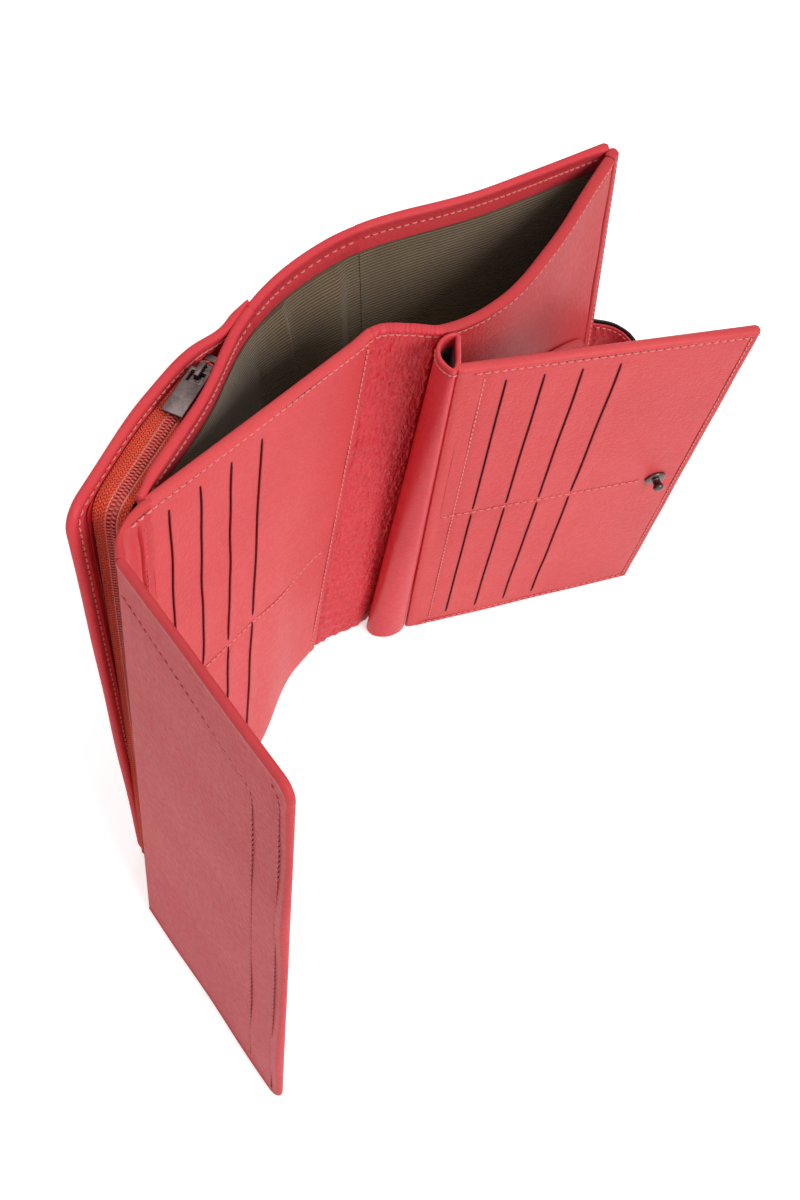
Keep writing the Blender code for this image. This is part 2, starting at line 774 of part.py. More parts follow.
def turned_shape(profile, centre, axis, side):
    """Solid turned about an axis from a profile of (radius, height) pairs."""
    other = axis.cross(side)
    verts, faces = [], []
    rings = []
    for radius, height in profile:
        middle = centre + axis * height
        if radius == 0:
            rings.append([len(verts)])
            verts.append(middle)
            continue
        rings.append(list(range(len(verts), len(verts) + TURN_SAMPLES)))
        for i in range(TURN_SAMPLES):
            angle = 2 * math.pi * i / TURN_SAMPLES
            arm = side * math.cos(angle) + other * math.sin(angle)
            verts.append(middle + arm * radius)
    for low, high in zip(rings, rings[1:]):
        for i in range(TURN_SAMPLES):
            following = (i + 1) % TURN_SAMPLES
            if len(low) == 1:
                faces.append((low[0], high[i], high[following]))
            elif len(high) == 1:
                faces.append((low[i], high[0], low[following]))
            else:
                faces.append((low[i], high[i], high[following]))
                faces.append((low[i], high[following], low[following]))
    return verts, faces


def ring_shape(profile, centre, axis, side):
    """Solid turned from a closed profile that stays off the axis."""
    other = axis.cross(side)
    count = len(profile)
    verts, faces = [], []
    for i in range(TURN_SAMPLES):
        angle = 2 * math.pi * i / TURN_SAMPLES
        arm = side * math.cos(angle) + other * math.sin(angle)
        verts += [centre + axis * height + arm * radius for radius, height in profile]
    for i in range(TURN_SAMPLES):
        following = (i + 1) % TURN_SAMPLES
        for k in range(count):
            after = (k + 1) % count
            a, b = i * count + k, i * count + after
            c, d = following * count + after, following * count + k
            faces += [(a, b, c), (a, c, d)]
    return verts, faces


def front_of(wall, station, z):
    """Direction square to a wall's face at a point, and the level run along it."""
    out = wall.square(station, z)
    run = Vector((-out.y, out.x, 0))
    up = (wall.at(station, wall.high) - wall.at(station, wall.low)).normalized()
    normal = run.cross(up).normalized()
    if normal.dot(Vector((out.x, out.y, 0))) < 0:
        normal = normal * -1.0
    return normal, run


# Snap stud on the leaf, with its washer between the panels
leaf_normal, leaf_run = front_of(LEAF, stud_station, HEIGHT / 2)
stud_seat = LEAF.at(stud_station, HEIGHT / 2)
flange_top = GAP + STUD_FLANGE_T
post_top = flange_top + STUD_POST_H
stud_profile = (
    (0, GAP),
    (STUD_FLANGE_R, GAP),
    (STUD_FLANGE_R, flange_top - STUD_FLANGE_T / 3),
    (STUD_FLANGE_R - STUD_FLANGE_T / 2, flange_top),
    (STUD_POST_R, flange_top),
    (STUD_POST_R, post_top),
    (STUD_BALL_R, post_top + STUD_BALL_R / 2),
    (STUD_BALL_R, post_top + STUD_BALL_R),
    (STUD_POST_R, post_top + STUD_BALL_R * 1.5),
    (0, post_top + STUD_BALL_R * 1.65),
)
node(
    "snap_stud", "gunmetal", *turned_shape(stud_profile, stud_seat, leaf_normal, leaf_run),
    leaf_pivot, smooth=True,
)
washer_seat = LEAF.at(stud_station, HEIGHT / 2, (pocket_front + pocket_back) / 2)
washer_profile = (
    (0, -WASHER_T / 2),
    (WASHER_R, -WASHER_T / 2),
    (WASHER_R, WASHER_T / 2),
    (0, WASHER_T / 2),
)
node(
    "stud_washer", "gunmetal", *turned_shape(washer_profile, washer_seat, leaf_normal, leaf_run),
    leaf_pivot,
)


# Closing strap: a sewn base behind the back cover, a soft bend and the free tab
STRAP_LOW = STRAP_LEVEL - STRAP_HEIGHT / 2
STRAP_HIGH = STRAP_LEVEL + STRAP_HEIGHT / 2
strap_back = leather_front - COVER_T - GAP


def strap_walls():
    """Base along the back cover, then bend and tab past the page's free edge."""
    base_length = STRAP_BASE
    base, bend, tab = [], [], []
    for z in (STRAP_LOW, STRAP_HIGH):
        cover_run = OUTER.length(SPINE_END, OUTER_END)
        start = OUTER_END - (OUTER_END - SPINE_END) * base_length / cover_run
        line = [flat(OUTER.at(start, z, strap_back)), flat(OUTER.at(OUTER_END, z, strap_back))]
        base.append(line)
        run = (line[1] - line[0]).normalized()
        angle = math.degrees(math.atan2(run.y, run.x))
        corner = line[1] + run * GAP
        bend_line = [corner, corner + heading(angle + STRAP_TURNS[0]) * STRAP_BEND]
        bend.append(bend_line)
        place = bend_line[1] + heading(angle + STRAP_TURNS[0]) * GAP
        points = [place]
        for turn in STRAP_TURNS[1:]:
            place = place + heading(angle + turn) * (STRAP_REACH / (len(STRAP_TURNS) - 1))
            points.append(place)
        tab.append(points)
    return [Wall(lines[0], lines[1], STRAP_LOW, STRAP_HIGH) for lines in (base, bend, tab)]


STRAP_BASE_WALL, STRAP_BEND_WALL, STRAP_TAB_WALL = strap_walls()
strap_end = len(STRAP_TURNS) - 1
strap_middle = (STRAP_LOW + STRAP_HIGH) / 2
strap_bend_mid = STRAP_BEND_WALL.at(0.5, strap_middle, -STRAP_T / 2)
strap_pivot = pivot("strap_fold_axis", strap_bend_mid, spine_pivot)
strap_span = {"low": STRAP_LOW, "high": STRAP_HIGH, "levels": 3, "step": SHEET_STEP / 2}
sheet(
    "strap_base", "leather", STRAP_BASE_WALL, 0.0, 1.0, -STRAP_T, 0.0, spine_pivot, **strap_span,
)
sheet(
    "strap_bend", "leather", STRAP_BEND_WALL, 0.0, 1.0, -STRAP_T, 0.0, strap_pivot, **strap_span,
)
sheet(
    "strap_outer", "leather", STRAP_TAB_WALL, 0.0, strap_end, -STRAP_T, 0.0, strap_pivot,
    radius=STRAP_CORNER, **strap_span,
)
sheet(
    "strap_inner", "leather", STRAP_TAB_WALL, 0.0, strap_end, GAP, GAP + STRAP_LINING_T,
    strap_pivot, radius=STRAP_CORNER, **strap_span,
)
tab_length = STRAP_TAB_WALL.length(0, strap_end)
snap_station = strap_end * (1 - STRAP_SNAP_FROM_TIP / tab_length)
snap_normal, snap_run = front_of(STRAP_TAB_WALL, snap_station, strap_middle)
strap_bow = SKIN_LIFT
socket_seat = STRAP_TAB_WALL.at(snap_station, strap_middle, GAP + STRAP_LINING_T + strap_bow)
socket_profile = (
    (SOCKET_HOLE_R, 0),
    (SOCKET_R, 0),
    (SOCKET_R, SOCKET_H * 0.7),
    (SOCKET_R * 0.86, SOCKET_H),
    (SOCKET_HOLE_R, SOCKET_H),
)
node(
    "snap_socket", "gunmetal", *ring_shape(socket_profile, socket_seat, snap_normal, snap_run),
    strap_pivot, smooth=True,
)
cap_seat = STRAP_TAB_WALL.at(snap_station, strap_middle, -(STRAP_T + strap_bow / 2))
cap_profile = (
    (0, 0),
    (CAP_R, 0),
    (CAP_R, -CAP_H * 0.4),
    (CAP_R * 0.75, -CAP_H * 0.85),
    (0, -CAP_H),
)
node(
    "snap_cap", "gunmetal", *turned_shape(cap_profile, cap_seat, snap_normal, snap_run),
    strap_pivot, smooth=True,
)

# Zip: a line of places, each with its run, its way across and its way out
zip_level = HEIGHT - ZIP_DROP
zip_start = scaled(ZIP_START_SHARES)
zip_corner = scaled(ZIP_CORNER_SHARES)
zip_foot = scaled(ZIP_FOOT_SHARES)
zip_run = Vector((zip_corner.x - zip_start.x, zip_corner.y - zip_start.y, 0)).normalized()
zip_up = Vector((0, 0, 1))
zip_across = zip_up.cross(zip_run)
BEND_STEPS = 4
TOP_STEPS = 5
SIDE_STEPS = 5


def zip_line():
    """Places along the coil, with the way out at each: up on top, forward at the edge."""
    start = Vector((zip_start.x, zip_start.y, zip_level))
    corner = Vector((zip_corner.x, zip_corner.y, zip_level))
    foot = Vector((zip_foot.x, zip_foot.y, ZIP_FOOT_LIFT))
    top_end = corner - zip_run * ZIP_BEND_R
    down = (foot - corner).normalized()
    side_start = corner + down * ZIP_BEND_R
    line = [(start + (top_end - start) * i / TOP_STEPS, zip_up) for i in range(TOP_STEPS + 1)]
    side_out = zip_across.cross(down).normalized() * -1.0
    if side_out.dot(zip_run) < 0:
        side_out = side_out * -1.0
    for i in range(1, BEND_STEPS):
        share = i / BEND_STEPS
        first = top_end * (1 - share) ** 2
        place = first + corner * (2 * share * (1 - share)) + side_start * share ** 2
        line.append((place, (zip_up * (1 - share) + side_out * share).normalized()))
    line += [
        (side_start + (foot - side_start) * i / SIDE_STEPS, side_out)
        for i in range(SIDE_STEPS + 1)
    ]
    return line


ZIP_LINE = zip_line()


def ribbon(line, left, right, half):
    """Closed strip between two edges given at each place, with a thickness."""
    verts = []
    for k, (_, out) in enumerate(line):
        for edge in (left[k], right[k]):
            verts += [edge - out * half, edge + out * half]
    faces = []
    for k in range(len(line) - 1):
        a, b = 4 * k, 4 * k + 4
        for low, high in ((1, 3), (2, 0), (0, 1), (3, 2)):
            faces += [(a + low, b + low, b + high), (a + low, b + high, a + high)]
    last = 4 * (len(line) - 1)
    faces += [(0, 1, 3), (0, 3, 2)]
    faces += [(last, last + 2, last + 3), (last, last + 3, last + 1)]
    return verts, faces


half_coil = COIL_WIDTH / 2
coil_left = [place - zip_across * half_coil for place, _ in ZIP_LINE]
coil_right = [place + zip_across * half_coil for place, _ in ZIP_LINE]
node("zip_coil", "zip_coil", *ribbon(ZIP_LINE, coil_left, coil_right, COIL_T / 2))


def nearest_reach(place, wall, stations, depth):
    """How far the way across runs from a place to a wall's face."""
    best = None
    for first, second in zip(stations, stations[1:]):
        a = flat(wall.at(first, place.z, depth)) - flat(place)
        b = flat(wall.at(second, place.z, depth)) - flat(place)
        side_a, side_b = a.dot(flat(zip_run)), b.dot(flat(zip_run))
        if side_a == side_b or (side_a > 0) == (side_b > 0):
            continue
        share = side_a / (side_a - side_b)
        reach = (a + (b - a) * share).dot(flat(zip_across))
        if best is None or abs(reach) < abs(best):
            best = reach
    if best is None:
        edge = wall.at(stations[-1], place.z, depth)
        best = (flat(edge) - flat(place)).dot(flat(zip_across))
    return best


cover_marks = [COVER_END * i / 40 for i in range(41)]
divider_marks = [JOIN * (1 - i / 40) for i in range(41)]
divider_back = leather_front - DIVIDER_T
cover_reach = [nearest_reach(p, COVER, cover_marks, -TAPE_RIM_GAP) for p, _ in ZIP_LINE]
divider_reach = [
    nearest_reach(p, OUTER, divider_marks, divider_back - TAPE_RIM_GAP) for p, _ in ZIP_LINE
]
for name, reaches in (("zip_tape_outer", cover_reach), ("zip_tape_inner", divider_reach)):
    near, far = [], []
    for (place, _), reach in zip(ZIP_LINE, reaches):
        side = math.copysign(1.0, reach)
        near.append(place + zip_across * side * (half_coil + GAP))
        far.append(place + zip_across * side * max(abs(reach), half_coil + 2 * GAP + TAPE_T))
    node(name, "zip_tape", *ribbon(ZIP_LINE, near, far, TAPE_T / 2))


def block(centre, run, across, up, length, width, height):
    """Box with its own directions."""
    verts = []
    for i in (-0.5, 0.5):
        for j in (-0.5, 0.5):
            for k in (-0.5, 0.5):
                verts.append(centre + run * length * i + across * width * j + up * height * k)
    faces = [(0, 1, 3, 2), (4, 6, 7, 5), (0, 4, 5, 1), (2, 3, 7, 6), (0, 2, 6, 4), (1, 5, 7, 3)]
    return verts, faces


# Slider: top plate with down-turned flanges and a bridge, and the plate below the coil
slider_centre = Vector((zip_start.x, zip_start.y, zip_level)) + zip_run * SLIDER_AHEAD
slider_pivot = pivot("zip_slide_axis", slider_centre)
plate_low = COIL_T / 2 + GAP
plate_high = plate_low + SLIDER_PLATE_T
flange_low = TAPE_T / 2 + GAP
half_width = SLIDER_WIDTH / 2
flange_inner = half_width - SLIDER_FLANGE_T
section = (
    (-half_width, flange_low),
    (-flange_inner, flange_low),
    (-flange_inner, plate_low),
    (flange_inner, plate_low),
    (flange_inner, flange_low),
    (half_width, flange_low),
    (half_width, plate_high - SLIDER_FLANGE_T / 2),
    (flange_inner, plate_high),
    (-flange_inner, plate_high),
    (-half_width, plate_high - SLIDER_FLANGE_T / 2),
)
bridge_low = plate_high + BRIDGE_CLEAR
bridge_high = bridge_low + BRIDGE_T


def extruded(outline, origin, first, second, along, start, end):
    """Prism from an outline in two directions, run along a third."""
    count = len(outline)
    verts = []
    for reach in (start, end):
        verts += [origin + first * a + second * b + along * reach for a, b in outline]
    faces = [tuple(range(count)), tuple(range(2 * count - 1, count - 1, -1))]
    for i in range(count):
        following = (i + 1) % count
        faces.append((i, i + count, following + count, following))
    return verts, faces


def united(name, kind, shapes, carrier):
    """Union of closed shapes that overlap, as one solid."""
    made = node(name, kind, *shapes[0], carrier)
    for number, shape in enumerate(shapes[1:]):
        cutter = node(name + "_tool_" + str(number), kind, *shape, carrier)
        cutter.hide_render = True
        cutter.display_type = "WIRE"
        union = made.modifiers.new("union_" + str(number), "BOOLEAN")
        union.operation = "UNION"
        union.solver = "EXACT"
        union.object = cutter
    return made


half_length = SLIDER_LENGTH / 2
plate = extruded(section, slider_centre, zip_across, zip_up, zip_run, -half_length, half_length)
half_bridge = BRIDGE_LENGTH / 2
sunk = SLIDER_PLATE_T / 2
arch_outline = (
    (-half_bridge, plate_high - sunk),
    (-half_bridge + BRIDGE_T, plate_high - sunk),
    (-half_bridge + BRIDGE_T, bridge_low),
    (half_bridge - BRIDGE_T, bridge_low),
    (half_bridge - BRIDGE_T, plate_high - sunk),
    (half_bridge, plate_high - sunk),
    (half_bridge, bridge_high),
    (-half_bridge, bridge_high),
)
half_arch = BRIDGE_WIDTH / 2
arch = extruded(arch_outline, slider_centre, zip_run, zip_up, zip_across, -half_arch, half_arch)
united("zip_slider", "gunmetal", [plate, arch], slider_pivot)
lower_centre = slider_centre - zip_up * (COIL_T / 2 + GAP + SLIDER_PLATE_T / 2)
lower_plate = block(
    lower_centre, zip_run, zip_across, zip_up, SLIDER_LENGTH, SLIDER_WIDTH, SLIDER_PLATE_T,
)
node("zip_slider_lower_plate", "gunmetal", *lower_plate, slider_pivot)

# Pull: a flat tab with an eye, whose bar lies under the bridge
bar_height = plate_high + BRIDGE_CLEAR / 2
bar_centre = slider_centre + zip_up * bar_height
pull_pivot = pivot("zip_pull_axis", bar_centre, slider_pivot)
half_bar = PULL_T / 2


def pull_frame():
    """Flat plate with a window, in the plane of the zip's run and its way across."""
    eye_width = PULL_WIDTH - 2 * PULL_ARM
    columns = [-half_bar, half_bar, half_bar + PULL_EYE, PULL_LENGTH * 0.55, PULL_LENGTH - half_bar]
    rows = [-PULL_WIDTH / 2, -eye_width / 2, eye_width / 2, PULL_WIDTH / 2]

    def place(along, across, side):
        lift = half_bar if side else -half_bar
        return bar_centre + zip_run * along + zip_across * across + zip_up * lift

    return grid_solid(place, columns, rows, {(1, 1)})


node("zip_pull", "gunmetal", *pull_frame(), pull_pivot)

# Stops at the two ends of the coil
start_place = Vector((zip_start.x, zip_start.y, zip_level)) - zip_run * (STOP_LENGTH / 2 + GAP)
top_stop = block(start_place, zip_run, zip_across, zip_up, STOP_LENGTH, STOP_WIDTH, STOP_T)
end_place, end_out = ZIP_LINE[-1]
down = (ZIP_LINE[-1][0] - ZIP_LINE[-2][0]).normalized()
end_centre = end_place + down * (STOP_LENGTH / 2 + GAP)
end_stop = block(end_centre, down, zip_across, end_out, STOP_LENGTH, STOP_WIDTH, STOP_T)
node("zip_top_stop", "gunmetal", *top_stop)
node("zip_end_stop", "gunmetal", *end_stop)


def stand_on_origin():
    """Move the whole wallet so that the middle of its base is at the origin."""
    bpy.context.view_layer.update()
    corners = [
        made.matrix_world @ Vector(corner)
        for made in bpy.data.objects
        if made.type == "MESH" and not made.hide_render
        for corner in [v.co for v in made.data.vertices]
    ]
    low = [min(c[k] for c in corners) for k in range(3)]
    high = [max(c[k] for c in corners) for k in range(3)]
    shift = Vector(((low[0] + high[0]) / 2, (low[1] + high[1]) / 2, low[2]))
    for made in bpy.data.objects:
        if made.parent is None:
            made.location = made.location - shift
    bpy.context.view_layer.update()
    return shift


SHIFT = stand_on_origin()
for empty, top in ((leaf_pivot, leaf_axis_top), (flap_pivot, flap_axis_top)):
    empty["top"] = tuple(top - SHIFT)
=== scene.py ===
import math

import bpy
import numpy as np
from mathutils import Matrix, Vector


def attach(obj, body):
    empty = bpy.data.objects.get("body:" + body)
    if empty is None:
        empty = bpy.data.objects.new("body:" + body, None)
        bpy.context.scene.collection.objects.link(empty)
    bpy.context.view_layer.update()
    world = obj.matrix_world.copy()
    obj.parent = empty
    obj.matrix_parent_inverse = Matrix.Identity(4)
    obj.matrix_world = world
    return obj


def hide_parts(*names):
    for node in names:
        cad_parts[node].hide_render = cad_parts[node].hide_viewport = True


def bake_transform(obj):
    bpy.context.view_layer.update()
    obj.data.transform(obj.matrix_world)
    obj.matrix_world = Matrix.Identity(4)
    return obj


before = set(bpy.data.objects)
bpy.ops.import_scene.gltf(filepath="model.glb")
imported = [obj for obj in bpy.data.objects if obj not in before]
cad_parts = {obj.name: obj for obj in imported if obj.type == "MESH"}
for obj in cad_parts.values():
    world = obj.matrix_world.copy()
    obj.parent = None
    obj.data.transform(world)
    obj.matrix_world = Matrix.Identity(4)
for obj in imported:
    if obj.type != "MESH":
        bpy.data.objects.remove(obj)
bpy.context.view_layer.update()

# An upright leather travel wallet, standing open. Metres, Z up. Every sheet lies on a
# wall ruled between a foot line and a rim line; depth is square to the wall, in plan.

MM = 0.001
HEIGHT = 0.195
SHIFT = np.array([0.001226, 0.000522])  # middle of the base, in the plan's own numbers

PANEL_T = 1.2 * MM
POCKET_FRONT, POCKET_BACK = -1.7 * MM, -2.3 * MM
LINING_FRONT, LINING_BACK = -2.8 * MM, -3.3 * MM
INNER_BACK = -4.1 * MM
LEATHER_FRONT, COVER_BACK, DIVIDER_BACK = -0.8 * MM, -2.2 * MM, -1.8 * MM
COVER_JOIN_DEPTH = -2.6 * MM

LIP = 2.2 * MM        # turned edge that wraps a panel's back
BAND = 10.0 * MM      # turned band that covers the top of a lining
BAND_STITCH = 4.6 * MM
TUCK = 0.3 * MM       # gap between a turned edge and the sheet that it frames
STITCH_IN = 3.0 * MM  # from an edge to its row of stitches
PITCH = 2.7 * MM      # from stitch to stitch
SLIT_W = 0.40 * MM
SLIT_PITCH = 12.7 * MM
SLIT_ROWS = ((8.5 * MM, 95.5 * MM), (99.5 * MM, 186.5 * MM))
SLITS_IN_A_ROW = 4
POCKET_ROWS = (("upper", 98.7 * MM, 191 * MM), ("lower", 4 * MM, 96.3 * MM))
LINING_FIT = {"low": 0.8 * MM, "high": HEIGHT - LIP - TUCK, "edge": 0.25 * MM, "left_edge": 0.25 * MM}
NUDGE = 0.01          # small step along a line, to find which way it runs

INNER_RIM = [(-73.8, -45.9), (-58, -22.7), (-42, 0.8), (-25.5, 25.1), (-20.2, 32.9), (-11, 35.5),
             (-2.1, 36.8), (7, 42.7), (16.3, 53.1), (30.5, 82.4), (41.6, 116.1), (47.3, 132.5)]
INNER_FOOT = [(-66, -69.5), (-54.5, -42), (-44.1, -14), (-36, 23), (-29, 35), (-17.5, 45),
              (-9, 54.5), (2, 68), (13, 82), (31, 104), (52, 130), (66, 147)]
OUTER_RIM = [(-67.2, -6), (-60.4, 32.6), (-55.3, 45.4), (-41, 67.1), (3, 99.8)]
OUTER_FOOT_SHARES = (0.0, 0.155, 0.300, 0.390, 0.500, 0.760, 1.0)
OUTER_PARTS = 4
JOIN, SPINE_END, OUTER_END = 8.0, 16.6, 24.0
COVER_RIM = [(-66.4, 22.5), (-73.9, 12), (-82.5, -8.6), (-94.4, -56.3)]
COVER_FOOT_SHARES = (1.0, 0.80, 0.60, 0.30)
COVER_FOOT_CORNER = (-77.8, -69.6)
LEAF_W, FLAP_W = 100 * MM, 85 * MM
LEAF_START = 3.4 * MM
STUD_S, STUD_Z = 88 * MM, 97.5 * MM


# Walls

def knots_of(points):
    """Running chord length along a row of points."""
    steps = np.linalg.norm(np.diff(points, axis=0), axis=1)
    return np.concatenate([[0.0], np.cumsum(steps)])


def unit(ways):
    """Each direction divided by its own length."""
    return ways / np.linalg.norm(ways, axis=-1, keepdims=True)


def square_to(ways, other):
    """Unit directions: each way less its share along the other one."""
    return unit(ways - other * np.sum(ways * other, axis=1, keepdims=True))


def slopes_of(points, knots):
    """Slope at each point: its two neighbouring runs, weighted by each other's length."""
    steps = np.diff(knots)[:, None]
    runs = np.diff(points, axis=0) / steps
    inner = (runs[:-1] * steps[1:] + runs[1:] * steps[:-1]) / (steps[:-1] + steps[1:])
    return np.vstack([runs[:1], inner, runs[-1:]])


class Wall:
    """Sheet ruled between a foot line and a rim line, each a cubic through its points."""

    def __init__(self, foot, rim, low=0.0, high=HEIGHT):
        self.low, self.high = low, high
        self.knots = knots_of(np.asarray(rim, float))
        self.lines = [(np.asarray(p, float), slopes_of(np.asarray(p, float), self.knots))
                      for p in (foot, rim)]
        self.last = len(rim) - 1

    def line(self, which, s):
        """Cubic Hermite curve through the points, at stations s."""
        points, slopes = self.lines[which]
        index = np.clip(np.floor(s).astype(int), 0, self.last - 1)
        t = (s - index)[..., None]
        span = np.diff(self.knots)[index][..., None]
        place = points[index] * (2 * t**3 - 3 * t**2 + 1) + slopes[index] * span * (t**3 - 2 * t**2 + t)
        return place + points[index + 1] * (3 * t**2 - 2 * t**3) + slopes[index + 1] * span * (t**3 - t**2)

    def face(self, s, z):
        """Straight line from the foot to the rim, at height z."""
        share = ((z - self.low) / (self.high - self.low))[..., None]
        return self.line(0, s) * (1 - share) + self.line(1, s) * share

    def out(self, s, z):
        """Level direction square to the wall: the run turned a quarter to its right."""
        s = np.clip(s, NUDGE, self.last - NUDGE)
        run = unit(self.face(s + NUDGE, z) - self.face(s - NUDGE, z))
        return np.stack([run[..., 1], -run[..., 0]], axis=-1)

    def at(self, s, z, depth=0.0):
        """Point at station s and height z, moved out of the face by depth."""
        s, z, depth = np.broadcast_arrays(np.asarray(s, float), np.asarray(z, float), depth)
        plan = self.face(s, z) + self.out(s, z) * depth[..., None] - SHIFT
        return np.concatenate([plan, z[..., None]], axis=-1)

    def ruler(self, start, end):
        """Stations from start to end against the distance walked at mid height."""
        marks = np.linspace(start, end, 241)
        middle = np.full_like(marks, (self.low + self.high) / 2)
        return marks, knots_of(self.face(marks, middle))


def mm(points):
    """Millimetres to metres."""
    return np.asarray(points, float) * MM


INNER = Wall(mm(INNER_FOOT), mm(INNER_RIM))


def plan_point(wall, station, z, depth):
    """Point of a wall in plan, in the plan's own numbers."""
    return wall.at(float(station), z, depth)[:2] + SHIFT


def outer_wall():
    """Outer wall: its rim is a cubic through OUTER_RIM, its foot keeps close behind INNER."""
    last = len(INNER_FOOT) - 1
    rim = np.vstack([plan_point(INNER, 0, HEIGHT, INNER_BACK), mm(OUTER_RIM),
                     plan_point(INNER, last, HEIGHT, INNER_BACK)])
    guide = Wall(rim, rim)
    fine = np.arange((len(rim) - 1) * OUTER_PARTS + 1) / OUTER_PARTS
    shares = np.interp(fine, np.arange(len(rim)), OUTER_FOOT_SHARES)
    foot = [plan_point(INNER, last * share, 0.0, INNER_BACK) for share in shares]
    return Wall(foot, guide.line(1, fine))


OUTER = outer_wall()


def cover_wall():
    """Free outer cover, from the seam with the divider to its own corner."""
    rim = np.vstack([plan_point(OUTER, JOIN, HEIGHT, COVER_JOIN_DEPTH), mm(COVER_RIM)])
    foot = [plan_point(OUTER, JOIN * share, 0.0, COVER_JOIN_DEPTH) for share in COVER_FOOT_SHARES]
    return Wall(np.vstack([foot, mm(COVER_FOOT_CORNER)]), rim)


COVER = cover_wall()


def flat_wall(foot, rim, foot_heading, rim_heading, width):
    """Flat panel: foot and rim lines of one width at their own headings."""
    def ends(start, heading):
        way = np.array([math.cos(math.radians(heading)), math.sin(math.radians(heading))])
        return np.vstack([start, start + way * width])
    return Wall(ends(mm(foot), foot_heading), ends(mm(rim), rim_heading))


LEAF = flat_wall((5.3, 50.3), (6.2, 22.2), 27.2, 22.5, LEAF_W)
FLAP = flat_wall((-70.8, -89.6), (-78.4, -66.6), -45.7, -45.4, FLAP_W)


def bend_wall():
    """Soft bend from the left page's free edge round to the flap."""
    lines = []
    for z, points in ((0.0, [(-69.6, -77.5), (-71.2, -83.5), (-71.3, -88.6)]),
                      (HEIGHT, [(-78.6, -52.8), (-79.6, -59.5), (-78.75, -65.8)])):
        edge = plan_point(INNER, 0, z, -PANEL_T / 2)
        away = edge - plan_point(INNER, 0.1, z, -PANEL_T / 2)
        lines.append(np.vstack([edge + away / np.linalg.norm(away) * 0.5 * MM, mm(points)]))
    return Wall(*lines)


BEND = bend_wall()


# Meshes

def grid_lines(end, marks, firm, step):
    """Lines from 0 to end through every mark; plain marks give way to firm ones."""
    firm = np.unique(np.round(np.concatenate([[0.0, end], firm]), 7))
    firm = firm[(firm >= 0) & (firm <= end + 1e-9)]
    marks = np.asarray(marks, float)
    marks = marks[(marks > 0) & (marks < end)]
    if len(marks):
        marks = marks[np.abs(marks[:, None] - firm[None]).min(axis=1) > 0.09 * MM]
        marks = np.unique(np.round(marks / (0.1 * MM)) * (0.1 * MM))
    lines = np.union1d(firm, marks)
    counts = np.maximum(np.ceil(np.diff(lines) / step).astype(int), 1)
    parts = [a + (b - a) * np.arange(n) / n for a, b, n in zip(lines, lines[1:], counts)]
    return np.concatenate(parts + [[end]])


def build(name, points, faces, uv, surface, tint=None, sharp=50):
    """Mesh object from point, face and map arrays, with smooth shading up to an angle."""
    mesh = bpy.data.meshes.new(name)
    mesh.from_pydata(points.tolist(), [], faces.tolist() if isinstance(faces, np.ndarray) else faces)
    loops = np.empty(len(mesh.loops), np.int32)
    mesh.loops.foreach_get("vertex_index", loops)
    layer = mesh.uv_layers.new(name="flat")
    layer.data.foreach_set("uv", uv[loops].astype(np.float32).ravel())
    if tint is not None:
        mesh.attributes.new("edge_paint_and_shade", "FLOAT", "POINT").data.foreach_set("value", tint.astype(np.float32))
    mesh.shade_smooth()
    mesh.set_sharp_from_angle(angle=math.radians(sharp))
    mesh.update()
    made = bpy.data.objects.new(name, mesh)
    bpy.context.scene.collection.objects.link(made)
    made.data.materials.append(surface)
    return made


def full(distance, radius):
    """Quarter round: 0 at an edge, 1 from radius inwards."""
    return np.sqrt(np.clip(1 - (1 - np.clip(distance / radius, 0, 1)) ** 2, 0, 1))


def ease(x):
    """Smooth step: 3 x squared less 2 x cubed, from 0 at 0 to 1 at 1."""
    x = np.clip(x, 0, 1)
    return x * x * (3 - 2 * x)


def bump(x, width):
    """Bell curve: e to the minus square of x over width."""
    return np.exp(-(x / width) ** 2)


def waves(u, v, length, seed, count=8):
    """Soft unevenness: sine waves of about one length in random directions, unit height."""
    dice = np.random.default_rng(seed)
    total = 0.0
    for _ in range(count):
        angle, phase, turn = dice.uniform(0, 2 * np.pi, 3)
        pull = 2 * np.pi / (length * dice.uniform(0.6, 1.7))
        total = total + np.sin(pull * (u * np.cos(angle) + v * np.sin(angle)) + phase + turn)
    return total / math.sqrt(count)


class Spot:
    """Where each grid point of a panel lies: run u, height v and distance to each edge."""

    def __init__(self, u, v, length, low, high, corner, grid=None, crown=None):
        if crown is not None:
            top = crown(length - u)
            v, high = low + (v - low) * (top - low) / (high - low), top
        drop_top, drop_low = high - v, v - low
        self.length, self.low, self.high = length, low, high
        near = np.minimum(drop_top, drop_low)
        inset = corner - np.sqrt(np.clip(corner**2 - np.clip(corner - near, 0, None) ** 2, 0, None))
        reach = max(2.5 * corner, 1e-9)
        self.grid = u if grid is None else grid
        self.u = u - inset * ease((u - (length - reach)) / reach) * (corner > 0)
        self.v = v
        self.left, self.right = self.u, length - self.u
        self.top, self.bottom = drop_top, drop_low
        if corner > 0:
            qx, qz = corner - self.right, corner - near
            away = np.hypot(np.clip(qx, 0, None), np.clip(qz, 0, None))
            self.rim = corner - away - np.minimum(np.maximum(qx, qz), 0)
        else:
            self.rim = np.minimum(self.right, near)


